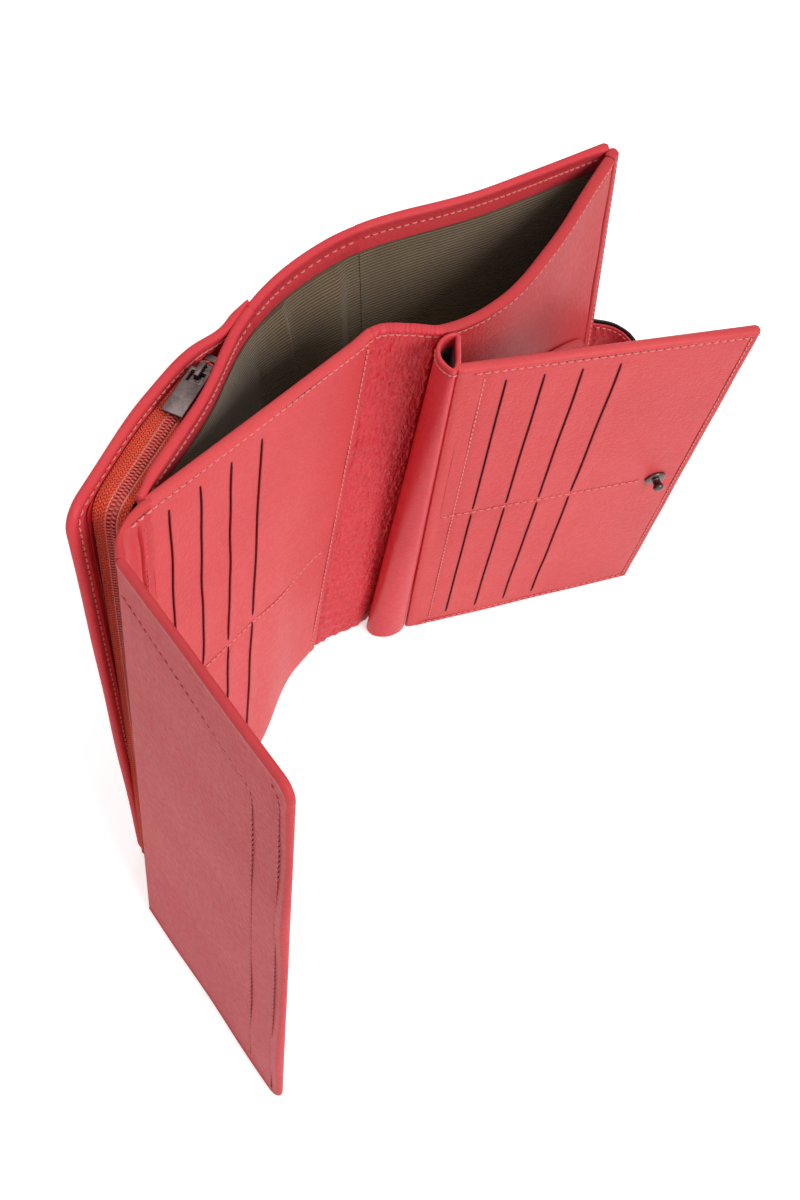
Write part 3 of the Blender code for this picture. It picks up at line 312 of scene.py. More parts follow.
def shell(name, wall, start, end, front, back, surface, low=0.0, high=HEIGHT, step=4.0 * MM,
          rise=6.0 * MM, corner=0.0, edge=0.6 * MM, left_edge=0.6 * MM, slits=(), u_marks=(), v_marks=(),
          ends=("round", "round"), wander=None, crown=None):
    """Closed panel of a wall: front and back depths are functions of the place, and meet
    at the outline in a round of radius edge. Slits are open boxes of run and height; wander
    shifts them along the run. An end is round, flush, or round only below the rim (tucked).
    A crown gives the height of a slanting top by the distance from the panel's end."""
    marks, run = wall.ruler(start, end)
    length = run[-1]
    low, high = float(low), float(high)
    span = high - low
    border = np.array([0.05, 0.15, 0.35, 0.6, 0.85, 1.0, 1.5, 2.1, 2.35, 2.6, 3.0, 3.4, 3.8, 5.0, 5.3]) * MM
    border = np.concatenate([border, edge * np.array([0.04, 0.14, 0.3, 0.5, 0.75, 1.0])])
    arc = corner * (1 - np.cos(np.linspace(0, np.pi / 2, 9)))
    sides = np.array([s for slit in slits for s in slit[:2]])
    stops = np.array([s for slit in slits for s in slit[2:]]) - low
    lips = np.array([-2.5, -1.2, -0.5, -0.2, 0.2, 0.5, 1.2, 2.5]) * MM
    u_all = np.concatenate([border, length - border, length - arc, np.asarray(u_marks, float),
                            (sides[:, None] + lips).ravel()])
    v_all = np.concatenate([border, span - border, arc, span - arc, np.asarray(v_marks, float) - low,
                            (stops[:, None] + lips).ravel()])
    lines_u = grid_lines(length, u_all, sides, step)
    lines_v = low + grid_lines(span, v_all, stops, rise)
    u, v = np.meshgrid(lines_u, lines_v, indexing="ij")
    spot = Spot(u if wander is None else u + wander(u, v), v, length, low, high, corner, u, crown)
    station = np.interp(spot.u, run, marks)
    depth_front, depth_back = front(spot), back(spot)
    middle, half = (depth_front + depth_back) / 2, (depth_front - depth_back) / 2

    def side(distance, radius, kind):
        if kind == "flush":
            return 1.0
        shape = full(distance, radius)
        if kind == "tucked":
            shape = shape + (1 - shape) * (1 - ease((spot.top - 3 * MM) / (3 * MM)))
        return shape

    fullness = full(spot.rim, edge) if corner > 0 else \
        full(np.minimum(spot.top, spot.bottom), edge) * side(spot.right, edge, ends[1])
    fullness = fullness * side(spot.left, left_edge, ends[0])
    sheets = [wall.at(station, spot.v, middle + sign * half * fullness) for sign in (1, -1)]
    nu, nv = u.shape
    index = np.arange(nu * nv).reshape(nu, nv)
    under = index + nu * nv
    outline = np.zeros((nu, nv), bool)
    outline[0], outline[-1], outline[:, 0], outline[:, -1] = True, True, True, True
    under = np.where(outline, index, under)
    centre_u, centre_v = (lines_u[:-1] + lines_u[1:]) / 2, (lines_v[:-1] + lines_v[1:]) / 2
    open_cell = np.zeros((nu - 1, nv - 1), bool)
    # near each slit: its dark raw edge, spreading 0.42 mm onto the face as painted shade
    near_slit = np.zeros((nu, nv))
    for a, b, c, d in slits:
        open_cell |= ((centre_u > a) & (centre_u < b))[:, None] & ((centre_v > c) & (centre_v < d))[None]
        beside, beyond = np.maximum(a - u, u - b), np.maximum(c - v, v - d)
        away = np.hypot(np.clip(beside, 0, None), np.clip(beyond, 0, None))
        near_slit = np.maximum(near_slit, 1 - np.clip(away / (0.42 * MM), 0, 1))
    kept = ~open_cell

    def quads(grid, turned):
        corners = [grid[:-1, :-1], grid[1:, :-1], grid[1:, 1:], grid[:-1, 1:]]
        cells = np.stack([c[kept] for c in corners], axis=1)
        return cells[:, ::-1] if turned else cells

    faces = [quads(index, False), quads(under, True)]
    if len(slits):
        for axis in (0, 1):
            first, second = (kept[:-1], kept[1:]) if axis == 0 else (kept[:, :-1], kept[:, 1:])
            i, j = np.nonzero(first != second)
            a, b = ((i + 1, j), (i + 1, j + 1)) if axis == 0 else ((i + 1, j + 1), (i, j + 1))
            walls = np.stack([index[b], index[a], under[a], under[b]], axis=1)
            turned = ~kept[i, j]
            walls[turned] = walls[turned][:, ::-1]
            faces.append(walls)
    faces = np.vstack(faces)
    points = np.vstack([s.reshape(-1, 3) for s in sheets])
    maps = np.stack([spot.u, spot.v], axis=-1).reshape(-1, 2)
    maps = np.vstack([maps, maps])
    tint = np.concatenate([near_slit.ravel(), near_slit.ravel()])
    used, faces = np.unique(faces, return_inverse=True)
    faces = faces.reshape(-1, 4)
    return build(name, points[used], faces, maps[used], surface, tint[used])


class Rows:
    """Gathers stitches along panels, then makes them one mesh."""

    def __init__(self):
        self.parts = []

    def along(self, wall, start, end, path, depth, side=1.0, pitch=PITCH):
        """Even stitches along a broken line of (run, height) points at a depth."""
        marks, run = wall.ruler(start, end)
        path = np.asarray(path, float)
        walked = knots_of(path)
        count = max(int(walked[-1] / pitch), 1)
        middles = (np.arange(count) + 0.5) * walked[-1] / count

        def place(d):
            u, z = np.interp(d, walked, path[:, 0]), np.interp(d, walked, path[:, 1])
            s = np.interp(u, run, marks)
            deep = depth(u, z) if callable(depth) else depth
            return wall.at(s, z, deep), s, z

        here, s, z = place(middles)
        after, before = place(middles + 0.3 * MM)[0], place(middles - 0.3 * MM)[0]
        level = wall.out(s, z)
        rise = wall.at(s, np.minimum(z + MM, wall.high)) - wall.at(s, np.maximum(z - MM, wall.low))
        out = np.concatenate([level, np.zeros_like(level[:, :1])], axis=1) * side
        out = square_to(out, unit(rise))
        self.parts.append((here, square_to(after - before, out), out))
        return self

    def make(self, name, surface, length=2.15 * MM, width=0.62 * MM, holes=True):
        """Each stitch is a bowed capsule: a ring carried along the run, pinched at its ends
        and sunk into the leather there; between two stitches a dark peg, painted shade for a needle hole."""
        here, way, out = (np.vstack(column) for column in zip(*self.parts))
        across = np.cross(way, out)
        t = np.linspace(0, 1, 5)
        around = np.arange(6) * np.pi / 3
        along = (t - 0.5) * length
        lift = np.sin(np.pi * t) * 0.32 * MM - 0.16 * MM
        radius = width / 2 * np.array([0.45, 0.92, 1.0, 0.92, 0.45])
        y = lift[:, None] + radius[:, None] * np.sin(around)[None] * 0.8
        x = radius[:, None] * np.cos(around)[None]
        points = (here[:, None, None] + way[:, None, None] * along[None, :, None, None]
                  + out[:, None, None] * y[None, ..., None] + across[:, None, None] * x[None, ..., None])
        n = len(here)
        k = np.arange(6)
        ring = np.stack([k, (k + 1) % 6], axis=1)
        quads = np.concatenate([np.stack([ring[:, 0] + 6 * r, ring[:, 1] + 6 * r, ring[:, 1] + 6 * r + 6,
                                          ring[:, 0] + 6 * r + 6], axis=1) for r in range(4)])
        offsets = (np.arange(n) * 30)[:, None, None]
        sides = (quads[None] + offsets).reshape(-1, 4)
        caps = np.array([[5, 4, 3, 2, 1, 0], [24, 25, 26, 27, 28, 29]])
        caps = (caps[None] + offsets).reshape(-1, 6)
        maps = np.stack(np.broadcast_arrays(along[None, :, None] + np.arange(n)[:, None, None] * PITCH,
                                            (around * width / 2)[None, None]), axis=-1)
        faces = sides.tolist() + caps.tolist()
        points, maps = points.reshape(-1, 3), maps.reshape(-1, 2)
        if not holes:
            return build(name, points, faces, maps, surface, sharp=80)
        # dark pegs between the stitches: painted shade standing in for the needle holes
        middle = here - way * PITCH / 2
        levels = np.array([-0.55, -0.07]) * MM
        pegs = (middle[:, None, None] + out[:, None, None] * levels[None, :, None, None]
                + way[:, None, None] * (0.26 * MM * np.cos(around))[None, None, :, None]
                + across[:, None, None] * (0.24 * MM * np.sin(around))[None, None, :, None])
        first = len(points) + (np.arange(n) * 12)[:, None, None]
        walls = np.stack([ring[:, 0], ring[:, 0] + 6, ring[:, 1] + 6, ring[:, 1]], axis=1)
        walls = (walls[None] + first).reshape(-1, 4)
        lids = (np.array([[0, 1, 2, 3, 4, 5], [11, 10, 9, 8, 7, 6]])[None] + first).reshape(-1, 6)
        made = build(name, np.vstack([points, pegs.reshape(-1, 3)]), faces + walls.tolist() + lids.tolist(),
                     np.vstack([maps, np.zeros((n * 12, 2))]), surface, sharp=80)
        made.data.materials.append(NEEDLE_HOLE_SHADE)
        which = np.zeros(len(made.data.polygons), np.int32)
        which[len(faces):] = 1
        made.data.polygons.foreach_set("material_index", which)
        return made


# Materials

class Nodes:
    """Short hand for a material's node tree."""

    def __init__(self, name):
        self.material = bpy.data.materials.new(name)
        self.material.use_nodes = True
        self.tree = self.material.node_tree
        self.tree.nodes.clear()
        self.shader = self.tree.nodes.new("ShaderNodeBsdfPrincipled")
        self.end = self.tree.nodes.new("ShaderNodeOutputMaterial")
        self.link(self.shader.outputs[0], self.end.inputs["Surface"])
        self.bumps = None

    def link(self, source, target):
        """Joins an output to an input."""
        self.tree.links.new(source, target)

    def put(self, target, value):
        """Feeds an input from another node's output, or sets it to a number."""
        if isinstance(value, bpy.types.NodeSocket):
            self.link(value, target)
        else:
            target.default_value = value

    def add(self, kind, **settings):
        """New node of a kind, with its settings."""
        node = self.tree.nodes.new("ShaderNode" + kind)
        for key, value in settings.items():
            setattr(node, key, value)
        return node

    def place(self, on_map=False, stretch=(1, 1, 1), turn=0.0):
        """Object coordinates, or the piece's own flat map, stretched and turned."""
        spots = self.add("TexCoord")
        mapping = self.add("Mapping")
        self.link(spots.outputs["UV" if on_map else "Object"], mapping.inputs["Vector"])
        mapping.inputs["Scale"].default_value = stretch
        mapping.inputs["Rotation"].default_value = (0, 0, turn)
        return mapping.outputs[0]

    def noise(self, place, scale, detail=3.0, rough=0.55, warp=0.0):
        """Cloudy noise between 0 and 1."""
        node = self.add("TexNoise")
        self.put(node.inputs["Vector"], place)
        self.put(node.inputs["Scale"], scale)
        self.put(node.inputs["Detail"], detail)
        self.put(node.inputs["Roughness"], rough)
        self.put(node.inputs["Distortion"], warp)
        return node.outputs["Fac"]

    def cells(self, place, scale, feature="F1", output="Distance", smooth=0.6):
        """Distance to the nearest of scattered points, or to the edge between two."""
        node = self.add("TexVoronoi", feature=feature)
        self.put(node.inputs["Vector"], place)
        self.put(node.inputs["Scale"], scale)
        if feature == "SMOOTH_F1":
            self.put(node.inputs["Smoothness"], smooth)
        return node.outputs[output]

    def sum(self, operation, first, second=0.0, third=0.0):
        """One step of arithmetic."""
        node = self.add("Math", operation=operation)
        for socket, value in zip(node.inputs, (first, second, third)):
            self.put(socket, value)
        return node.outputs[0]

    def steps(self, value, stops):
        """Colour ramp from (position, colour) stops."""
        node = self.add("ValToRGB")
        self.link(value, node.inputs[0])
        ramp = node.color_ramp
        while len(ramp.elements) < len(stops):
            ramp.elements.new(0.5)
        for element, (position, colour) in zip(ramp.elements, stops):
            element.position = position
            element.color = (*colour, 1)
        return node.outputs[0]

    def span(self, value, low, high, to_low, to_high):
        """Value carried from one range to another, held at its ends."""
        node = self.add("MapRange")
        for socket, number in zip(node.inputs, (value, low, high, to_low, to_high)):
            self.put(socket, number)
        return node.outputs[0]

    def mix(self, share, first, second, blend="MIX"):
        """Two colours mixed by a share of the second."""
        node = self.add("Mix", data_type="RGBA", blend_type=blend)
        self.put(node.inputs[0], share)
        self.put(node.inputs[6], first if isinstance(first, bpy.types.NodeSocket) else (*first, 1))
        self.put(node.inputs[7], second if isinstance(second, bpy.types.NodeSocket) else (*second, 1))
        return node.outputs[2]

    def raise_by(self, height, strength, distance):
        """Adds a bump on top of those already there."""
        node = self.add("Bump")
        self.put(node.inputs["Strength"], strength)
        self.put(node.inputs["Distance"], distance)
        self.link(height, node.inputs["Height"])
        if self.bumps is not None:
            self.link(self.bumps, node.inputs["Normal"])
        self.bumps = node.outputs[0]
        self.link(self.bumps, self.shader.inputs["Normal"])

    def set(self, **values):
        """Sets or feeds the surface's own inputs by name."""
        for key, value in values.items():
            self.put(self.shader.inputs[key.replace("_", " ")], value)
        return self.material


def rgb(text):
    """Linear colour from a written one."""
    parts = [int(text[i:i + 2], 16) / 255 for i in (1, 3, 5)]
    return tuple(c / 12.92 if c <= 0.04045 else ((c + 0.055) / 1.055) ** 2.4 for c in parts)


def leather(name, colour, dark, light, gloss=0.44, grain=1.0, crease=0.0, on_map=False, slit_edges_and_shade=False,
            shine=0.28):
    """Dyed leather: cloudy colour, pebbled grain with fine pores, uneven gloss and creases. Painted shade
    darkens the pebbles' valleys and the crease lines; with slit edges, a dark raw edge spreads as painted
    shade onto the face beside each slit.
    """
    n = Nodes(name)
    place = n.place(on_map)
    cloud = n.noise(place, 16, 3, 0.5)
    mottle = n.noise(place, 520, 3, 0.6)
    body = n.steps(cloud, [(0.15, rgb(dark)), (0.50, rgb(colour)), (0.90, rgb(light))])
    body = n.mix(n.span(mottle, 0.35, 0.7, 0.0, 0.14), body, rgb(dark))
    pebble = n.cells(place, 950, "SMOOTH_F1")
    fine = n.noise(place, 2600, 3, 0.6)
    pore = n.cells(place, 2100, "F1")
    # painted shade: the colour darkens a little in the valleys between the pebbles, where the relief sinks
    valley = n.span(pebble, 0.45, 0.75, 0.0, 0.10)
    body = n.mix(valley, body, rgb(dark))
    rough = n.span(mottle, 0.3, 0.7, gloss - 0.05, gloss + 0.08)
    n.raise_by(n.sum("MULTIPLY", pebble, -1.0), 0.34 * grain, 0.40 * MM)
    n.raise_by(n.noise(place, 700, 2, 0.5), 0.30 * grain, 0.35 * MM)
    n.raise_by(fine, 0.14 * grain, 0.16 * MM)
    n.raise_by(n.span(pore, 0.0, 0.18, 0.0, 1.0), 0.08 * grain, 0.12 * MM)
    n.raise_by(n.noise(place, 70, 2, 0.5), 0.16, 1.2 * MM)
    if crease:
        tall = n.place(on_map, (1.0, 0.42, 1.0) if on_map else (1.0, 1.0, 0.42))
        shaken = n.noise(tall, 170, 3, 0.6)
        warped = n.add("VectorMath", operation="MULTIPLY_ADD")
        n.link(tall, warped.inputs[0])
        warped.inputs[1].default_value = (1, 1, 1)
        lean = n.add("VectorMath", operation="SCALE")
        colours = n.add("CombineXYZ")
        n.link(shaken, colours.inputs[0])
        n.link(n.noise(tall, 210, 2, 0.5), colours.inputs[1])
        n.link(colours.outputs[0], lean.inputs[0])
        lean.inputs["Scale"].default_value = 0.0018
        n.link(lean.outputs[0], warped.inputs[2])
        crease_lines = n.cells(warped.outputs[0], 560, "DISTANCE_TO_EDGE")
        fold = n.span(crease_lines, 0.0, 0.22, 0.0, 1.0)
        n.raise_by(fold, 0.40 * crease, 0.40 * MM)
        # painted shade: the colour darkens along the crease lines
        body = n.mix(n.span(crease_lines, 0.0, 0.12, 0.12 * crease, 0.0), body, rgb(dark))
    if slit_edges_and_shade:
        # the slit's dark raw edge, and painted shade on the face just beside it
        edge_paint_and_shade = n.add("Attribute", attribute_name="edge_paint_and_shade")
        body = n.mix(n.span(edge_paint_and_shade.outputs["Fac"], 0.25, 0.85, 0.0, 0.85), body, rgb("#7d3038"))
    return n.set(Base_Color=body, Roughness=rough, IOR=1.45, Specular_IOR_Level=shine)


def ribbed(name, colour, dark, light, rib=1.15 * MM, strength=1.0):
    """Grosgrain: level ribs in relief, crossed by fine threads, slightly uneven; painted highlight on the rib
    crests and painted shade in the troughs and between the threads.
    """
    n = Nodes(name)
    place = n.place(True)
    parts = n.add("SeparateXYZ")
    n.link(place, parts.inputs[0])
    wander = n.noise(place, 160, 2, 0.5)
    height = n.sum("MULTIPLY_ADD", parts.outputs[1], 2 * math.pi / rib, n.sum("MULTIPLY", wander, 1.6))
    rib_wave = n.sum("SINE", height)
    thread_phase = n.sum("MULTIPLY_ADD", parts.outputs[0], 2 * math.pi / (0.55 * MM), rib_wave)
    thread = n.sum("SINE", thread_phase)
    cloud = n.noise(place, 45, 3, 0.6)
    # painted light and shade: the colour follows the ribs' relief, lighter on the crests, darker in the
    # troughs
    shade = n.sum("MULTIPLY_ADD", rib_wave, 0.5, 0.5)
    body = n.steps(shade, [(0.0, rgb(dark)), (0.55, rgb(colour)), (1.0, rgb(light))])
    body = n.mix(n.span(cloud, 0.3, 0.7, 0.0, 0.35), body, rgb(dark))
    # painted shade between the threads, where their relief sinks
    body = n.mix(n.span(thread, -1.0, 1.0, 0.18, 0.0), body, rgb(dark))
    n.set(Base_Color=body, Roughness=n.span(cloud, 0.3, 0.7, 0.62, 0.8))
    n.raise_by(rib_wave, strength, 0.13 * MM)
    n.raise_by(thread, 0.35, 0.06 * MM)
    return n.set(Sheen_Weight=0.25, Sheen_Roughness=0.5)


def twill(name, colour, dark, pitch=0.7 * MM):
    """Plain pocket cloth: fine slanting twill lines over a cloudy ground, with painted shade in the lines'
    hollows.
    """
    n = Nodes(name)
    parts = n.add("SeparateXYZ")
    place = n.place(True)
    n.link(place, parts.inputs[0])
    slant = n.sum("ADD", parts.outputs[0], parts.outputs[1])
    line = n.sum("SINE", n.sum("MULTIPLY", slant, 2 * math.pi / pitch))
    other = n.sum("SINE", n.sum("MULTIPLY", parts.outputs[0], 2 * math.pi / (0.5 * MM)))
    cloud = n.noise(place, 70, 3, 0.6)
    # painted shade: the twill lines' hollows darker, following their relief
    body = n.mix(n.span(line, -1.0, 1.0, 0.7, 0.0), rgb(colour), rgb(dark))
    body = n.mix(n.span(cloud, 0.3, 0.7, 0.0, 0.4), body, rgb(dark))
    n.set(Base_Color=body, Roughness=n.span(cloud, 0.3, 0.7, 0.75, 0.9))
    n.raise_by(line, 0.6, 0.12 * MM)
    n.raise_by(other, 0.3, 0.06 * MM)
    return n.set(Sheen_Weight=0.2)


def knitted(name, colour, dark, light):
    """Zip tape: columns of slanting knit loops, side by side along the run, with painted highlight on the
    loops and painted shade between them.
    """
    n = Nodes(name)
    place = n.place(True)
    parts = n.add("SeparateXYZ")
    n.link(place, parts.inputs[0])
    wale = 1.5 * MM
    fold = n.sum("PINGPONG", parts.outputs[1], wale / 2)
    run = n.sum("ADD", parts.outputs[0], n.sum("MULTIPLY", fold, 1.3))
    run = n.sum("MULTIPLY_ADD", n.noise(place, 300, 2, 0.5), 0.5 * MM, run)
    loop = n.sum("SINE", n.sum("MULTIPLY", run, 2 * math.pi / (1.15 * MM)))
    column = n.sum("COSINE", n.sum("MULTIPLY", parts.outputs[1], 4 * math.pi / wale))
    height = n.sum("MULTIPLY_ADD", column, 0.45, loop)
    cloud = n.noise(place, 60, 3, 0.6)
    # painted light and shade: loop tops lighter, hollows darker, following the relief
    body = n.steps(n.span(height, -1.45, 1.45, 0.0, 1.0),
                   [(0.0, rgb(dark)), (0.5, rgb(colour)), (1.0, rgb(light))])
    body = n.mix(n.span(cloud, 0.3, 0.7, 0.0, 0.3), body, rgb(dark))
    n.set(Base_Color=body, Roughness=n.span(cloud, 0.3, 0.7, 0.62, 0.78))
    n.raise_by(height, 0.9, 0.22 * MM)
    n.raise_by(n.noise(place, 3500, 2, 0.6), 0.3, 0.1 * MM)
    return n.set(Sheen_Weight=0.12, Specular_IOR_Level=0.2)


def moulded(name, colour, dark, gloss=0.32):
    """Dyed nylon: even colour with faint clouds and a soft drawn surface."""
    n = Nodes(name)
    place = n.place()
    cloud = n.noise(place, 500, 3, 0.6)
    body = n.mix(n.span(cloud, 0.3, 0.7, 0.0, 0.5), rgb(colour), rgb(dark))
    n.set(Base_Color=body, Roughness=n.span(cloud, 0.3, 0.7, gloss, gloss + 0.15))
    n.raise_by(n.noise(place, 4000, 2, 0.5), 0.15, 0.05 * MM)
    return n.set(IOR=1.5)


def plated(name, colour, dark, gloss=0.26):
    """Dark plating: fine brushed lines, cloudy tarnish and a few dull marks."""
    n = Nodes(name)
    place = n.place()
    brushed = n.noise(n.place(False, (3.0, 0.25, 1.0)), 5200, 2, 0.6)
    cloud = n.noise(place, 330, 4, 0.65)
    marks = n.noise(place, 1500, 3, 0.7)
    body = n.mix(n.span(cloud, 0.35, 0.7, 0.0, 0.7), rgb(colour), rgb(dark))
    satin = n.span(brushed, 0.3, 0.7, gloss - 0.04, gloss + 0.08)
    n.set(Base_Color=body, Roughness=n.sum("ADD", satin, n.span(marks, 0.55, 0.8, 0.0, 0.15)))
    n.raise_by(brushed, 0.10, 0.03 * MM)
    return n.set(Metallic=1.0)


def twisted(name, colour, dark):
    """Sewing thread: slanting twist lines round each stitch, with painted shade in the twist's hollows."""
    n = Nodes(name)
    parts = n.add("SeparateXYZ")
    n.link(n.place(True), parts.inputs[0])
    lay = n.sum("ADD", n.sum("MULTIPLY", parts.outputs[0], 2 * math.pi / (0.42 * MM)),
                n.sum("MULTIPLY", parts.outputs[1], 2 * math.pi / (0.6 * MM)))
    twist = n.sum("SINE", lay)
    # painted shade: the twist's hollows darker, following its relief
    body = n.mix(n.span(twist, -1.0, 1.0, 0.55, 0.0), rgb(colour), rgb(dark))
    n.set(Base_Color=body, Roughness=n.span(twist, -1.0, 1.0, 0.6, 0.45))
    n.raise_by(twist, 0.6, 0.06 * MM)
    return n.set(Sheen_Weight=0.3)


CARD = leather("card_panel_leather", "#d84c4f", "#cd4347", "#dd5354", gloss=0.44, slit_edges_and_shade=True, shine=0.22)
PAGE = leather("page_leather", "#d7484c", "#ca3f45", "#dd5252", gloss=0.44)
CARD_SOFT = leather("leaf_hinge_leather", "#d84c4f", "#cd4347", "#dd5354", gloss=0.44, on_map=True,
                    shine=0.22)
SPINE = leather("creased_spine_leather", "#da4049", "#c8323f", "#e14b52", gloss=0.40, grain=1.2, crease=1.3,
                on_map=True)
COVER_LEATHER = leather("cover_leather", "#d8434a", "#ca3842", "#de4f51", gloss=0.46, shine=0.16)
COVER_SOFT = leather("spine_cover_leather", "#d8434a", "#ca3842", "#de4f51", gloss=0.46, on_map=True,
                     shine=0.16)
# painted shade: a darker copy of the card leather for the right inner wall, shaded by the leaf and the deep
# fold
SHADED_WALL_LEATHER = leather("inner_wall_painted_shade_leather", "#ca4447", "#bd3b3f", "#d04c4d", gloss=0.48, shine=0.10)
# painted shade: darker copies of the card leather for the flap and its bend, which face away from the light
SHADED_FLAP_LEATHER = leather("flap_leather", "#cb4347", "#c13b41", "#d14b4c", gloss=0.46, grain=0.7, shine=0.17)
SHADED_FLAP_BEND = leather("flap_bend_leather", "#cf4347", "#c53b41", "#d54b4c", gloss=0.46, grain=0.7, on_map=True,
                    shine=0.17)
ROLL = leather("pen_loop_leather", "#d8434b", "#ca3641", "#df5053", gloss=0.38, grain=0.5)
# painted shade: a darker, deeper red copy of the leather for the inside of the outer cover, in shade within
# the zip pocket
SHADED_POCKET_LEATHER = leather("zip_pocket_painted_shade_leather", "#b0121f", "#9a0c18", "#bc1f2a", gloss=0.5)
# painted shade: dark colour of the pegs that stand in for needle holes
NEEDLE_HOLE_SHADE = leather("needle_hole_painted_shade", "#6d1c22", "#4a1014", "#7b262b", gloss=0.7)
STRAP_FACE = leather("strap_leather", "#cf3f47", "#aa2833", "#da4f53", gloss=0.45, grain=1.6, crease=0.8,
                     on_map=True)
EDGE_PAINT = leather("painted_edge", "#1c1516", "#100b0c", "#2b2021", gloss=0.30, grain=0.5)
RIBS = ribbed("grosgrain_lining", "#745b3b", "#453420", "#947a50")
POCKETS = twill("pocket_cloth", "#4b352b", "#2a1c17")
LOOP_CLOTH = twill("loop_cloth", "#463429", "#281c16")
TAPE = knitted("zip_tape_knit", "#f8482f", "#b8261a", "#ff7c50")
NYLON = moulded("zip_coil_nylon", "#e2645a", "#b8433b")
CORD = moulded("zip_core_nylon", "#a8352e", "#7c211d")
METAL = plated("dark_plating", "#6b5d5b", "#443a3a")
THREAD = twisted("red_thread", "#f5948c", "#d8605c")
# painted shade: a darker copy of the red thread for stitches on the flap and in the slip pocket, which lie in
# shade
SHADED_THREAD = twisted("painted_shade_red_thread", "#d65557", "#a8373d")


# Shared shapes

def constant(depth):
    """The same depth all over a panel."""
    return lambda p: np.full_like(p.u, depth)


def stepped(near, far, distance, width=0.15 * MM):
    """Depth near an edge, then a steep step to the depth beyond it."""
    return near + (far - near) * ease(distance / width)


def rolled(distance, height=0.45 * MM, width=1.35 * MM):
    """Fullness of a turned edge: a hump along the edge."""
    return height * bump(distance - 1.4 * MM, width)


def seam(distance, depth=0.28 * MM, width=0.55 * MM):
    """Furrow that a row of stitches pulls into the leather."""
    return -depth * bump(distance, width)


def slit_boxes(first):
    """Run and height of every slit: even steps along the run, the same in both rows."""
    return [(first + SLIT_PITCH * i, first + SLIT_PITCH * i + SLIT_W, low, high)
            for i in range(SLITS_IN_A_ROW) for low, high in SLIT_ROWS]


def slit_lips(p, first):
    """Each pocket mouth stands a little proud on its far side and sinks on its near side."""
    total = np.zeros_like(p.u)
    for i in range(SLITS_IN_A_ROW):
        middle = first + SLIT_PITCH * i + SLIT_W / 2
        away = p.grid - middle
        for low, high in SLIT_ROWS:
            inside = ease((p.v - low + 2 * MM) / (6 * MM)) * ease((high + 2 * MM - p.v) / (6 * MM))
            lift = np.where(away > 0, 0.42 * bump(away - 0.7 * MM, 3.0 * MM), -0.12 * bump(away, 1.8 * MM))
            total += lift * MM * inside
    return total


def slit_wander(first, seed, swing=0.26 * MM):
    """Slow sideways wander of each slit, dying out before its neighbours."""
    def shift(u, v):
        total = np.zeros_like(u)
        for i in range(SLITS_IN_A_ROW):
            middle = first + SLIT_PITCH * i + SLIT_W / 2
            path = waves(v, 0.0 * v, 34 * MM, seed + i, 5) * swing
            total += path * ease(1 - np.abs(u - middle) / (5.5 * MM))
        return total
    return shift


def stands_for(replaced):
    """Hides the solids that a piece stands in for, if any."""
    if replaced:
        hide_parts(*replaced)


def rides(piece, body, *replaced, slot):
    """Fixes a piece to one body."""
    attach(piece, body)
    stands_for(replaced)


def blends(piece, first, second, start, end, *replaced, slot):
    """Bakes a piece's place into its points and hides the solids it stands for; it is not bent, and the two
    bodies, the start and the end are not used.
    """
    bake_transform(piece)
    stands_for(replaced)


def turned_back(p):
    """Back of a panel: as deep as the lining down to the lip, then one layer, with a hump at the top."""
    return stepped(LINING_BACK, -PANEL_T, p.top - LIP) - rolled(p.top, 0.2 * MM)


def pocket_cloths(side, wall, start, end, seed, body):
    """Cloth pocket stacks behind a panel's two rows of slits: flat behind, softly waved in front."""
    for row, low, high in POCKET_ROWS:
        cloth = shell(
            side + "_" + row + "_pocket_cloth", wall, start, end,
            lambda p: POCKET_FRONT + 0.12 * MM * waves(p.u, p.v, 14 * MM, seed), constant(POCKET_BACK),
            POCKETS, low=low, high=high, edge=0.3 * MM, left_edge=0.3 * MM)
        rides(cloth, body, side + "_" + row + "_pockets", slot="pocket_cloth")


# Left page

PAGE_SLIT = 6.8 * MM
PAGE_END = 3.77
PAGE_EDGE_STITCH = 2.6 * MM
MIDDLE_SEAM = [(18 * MM, 97.4 * MM), (45 * MM, 95.5 * MM), (92 * MM, 82 * MM)]


def seam_line_distance(p, path):
    """Distance in the panel from a broken line."""
    best = np.full_like(p.u, 1.0)
    for (a, b), (c, d) in zip(path, path[1:]):
        length = math.hypot(c - a, d - b)
        t = np.clip(((p.u - a) * (c - a) + (p.v - b) * (d - b)) / length**2, 0, 1)
        best = np.minimum(best, np.hypot(p.u - a - t * (c - a), p.v - b - t * (d - b)))
    return best


def page_front(p):
    """Slit lips, a turned rim and soft waves, less the furrows of its three rows of stitches."""
    depth = slit_lips(p, PAGE_SLIT) + rolled(p.top) + 0.12 * MM * waves(p.u, p.v, 38 * MM, 11)
    depth += seam(p.top - STITCH_IN) + seam(p.right - PAGE_EDGE_STITCH)
    depth += seam(seam_line_distance(p, MIDDLE_SEAM), 0.18 * MM)
    return depth


left_page = shell(
    "left_card_page", INNER, 0.0, PAGE_END, page_front, turned_back, CARD,
    edge=1.5 * MM, left_edge=0.6 * MM, slits=slit_boxes(PAGE_SLIT), step=2.5 * MM, rise=4 * MM,
    v_marks=[(78 + i) * MM for i in range(0, 22)], ends=("flush", "tucked"),
    wander=slit_wander(PAGE_SLIT, 12))
rides(left_page, "left_half", "left_card_panel", slot="card_leather")

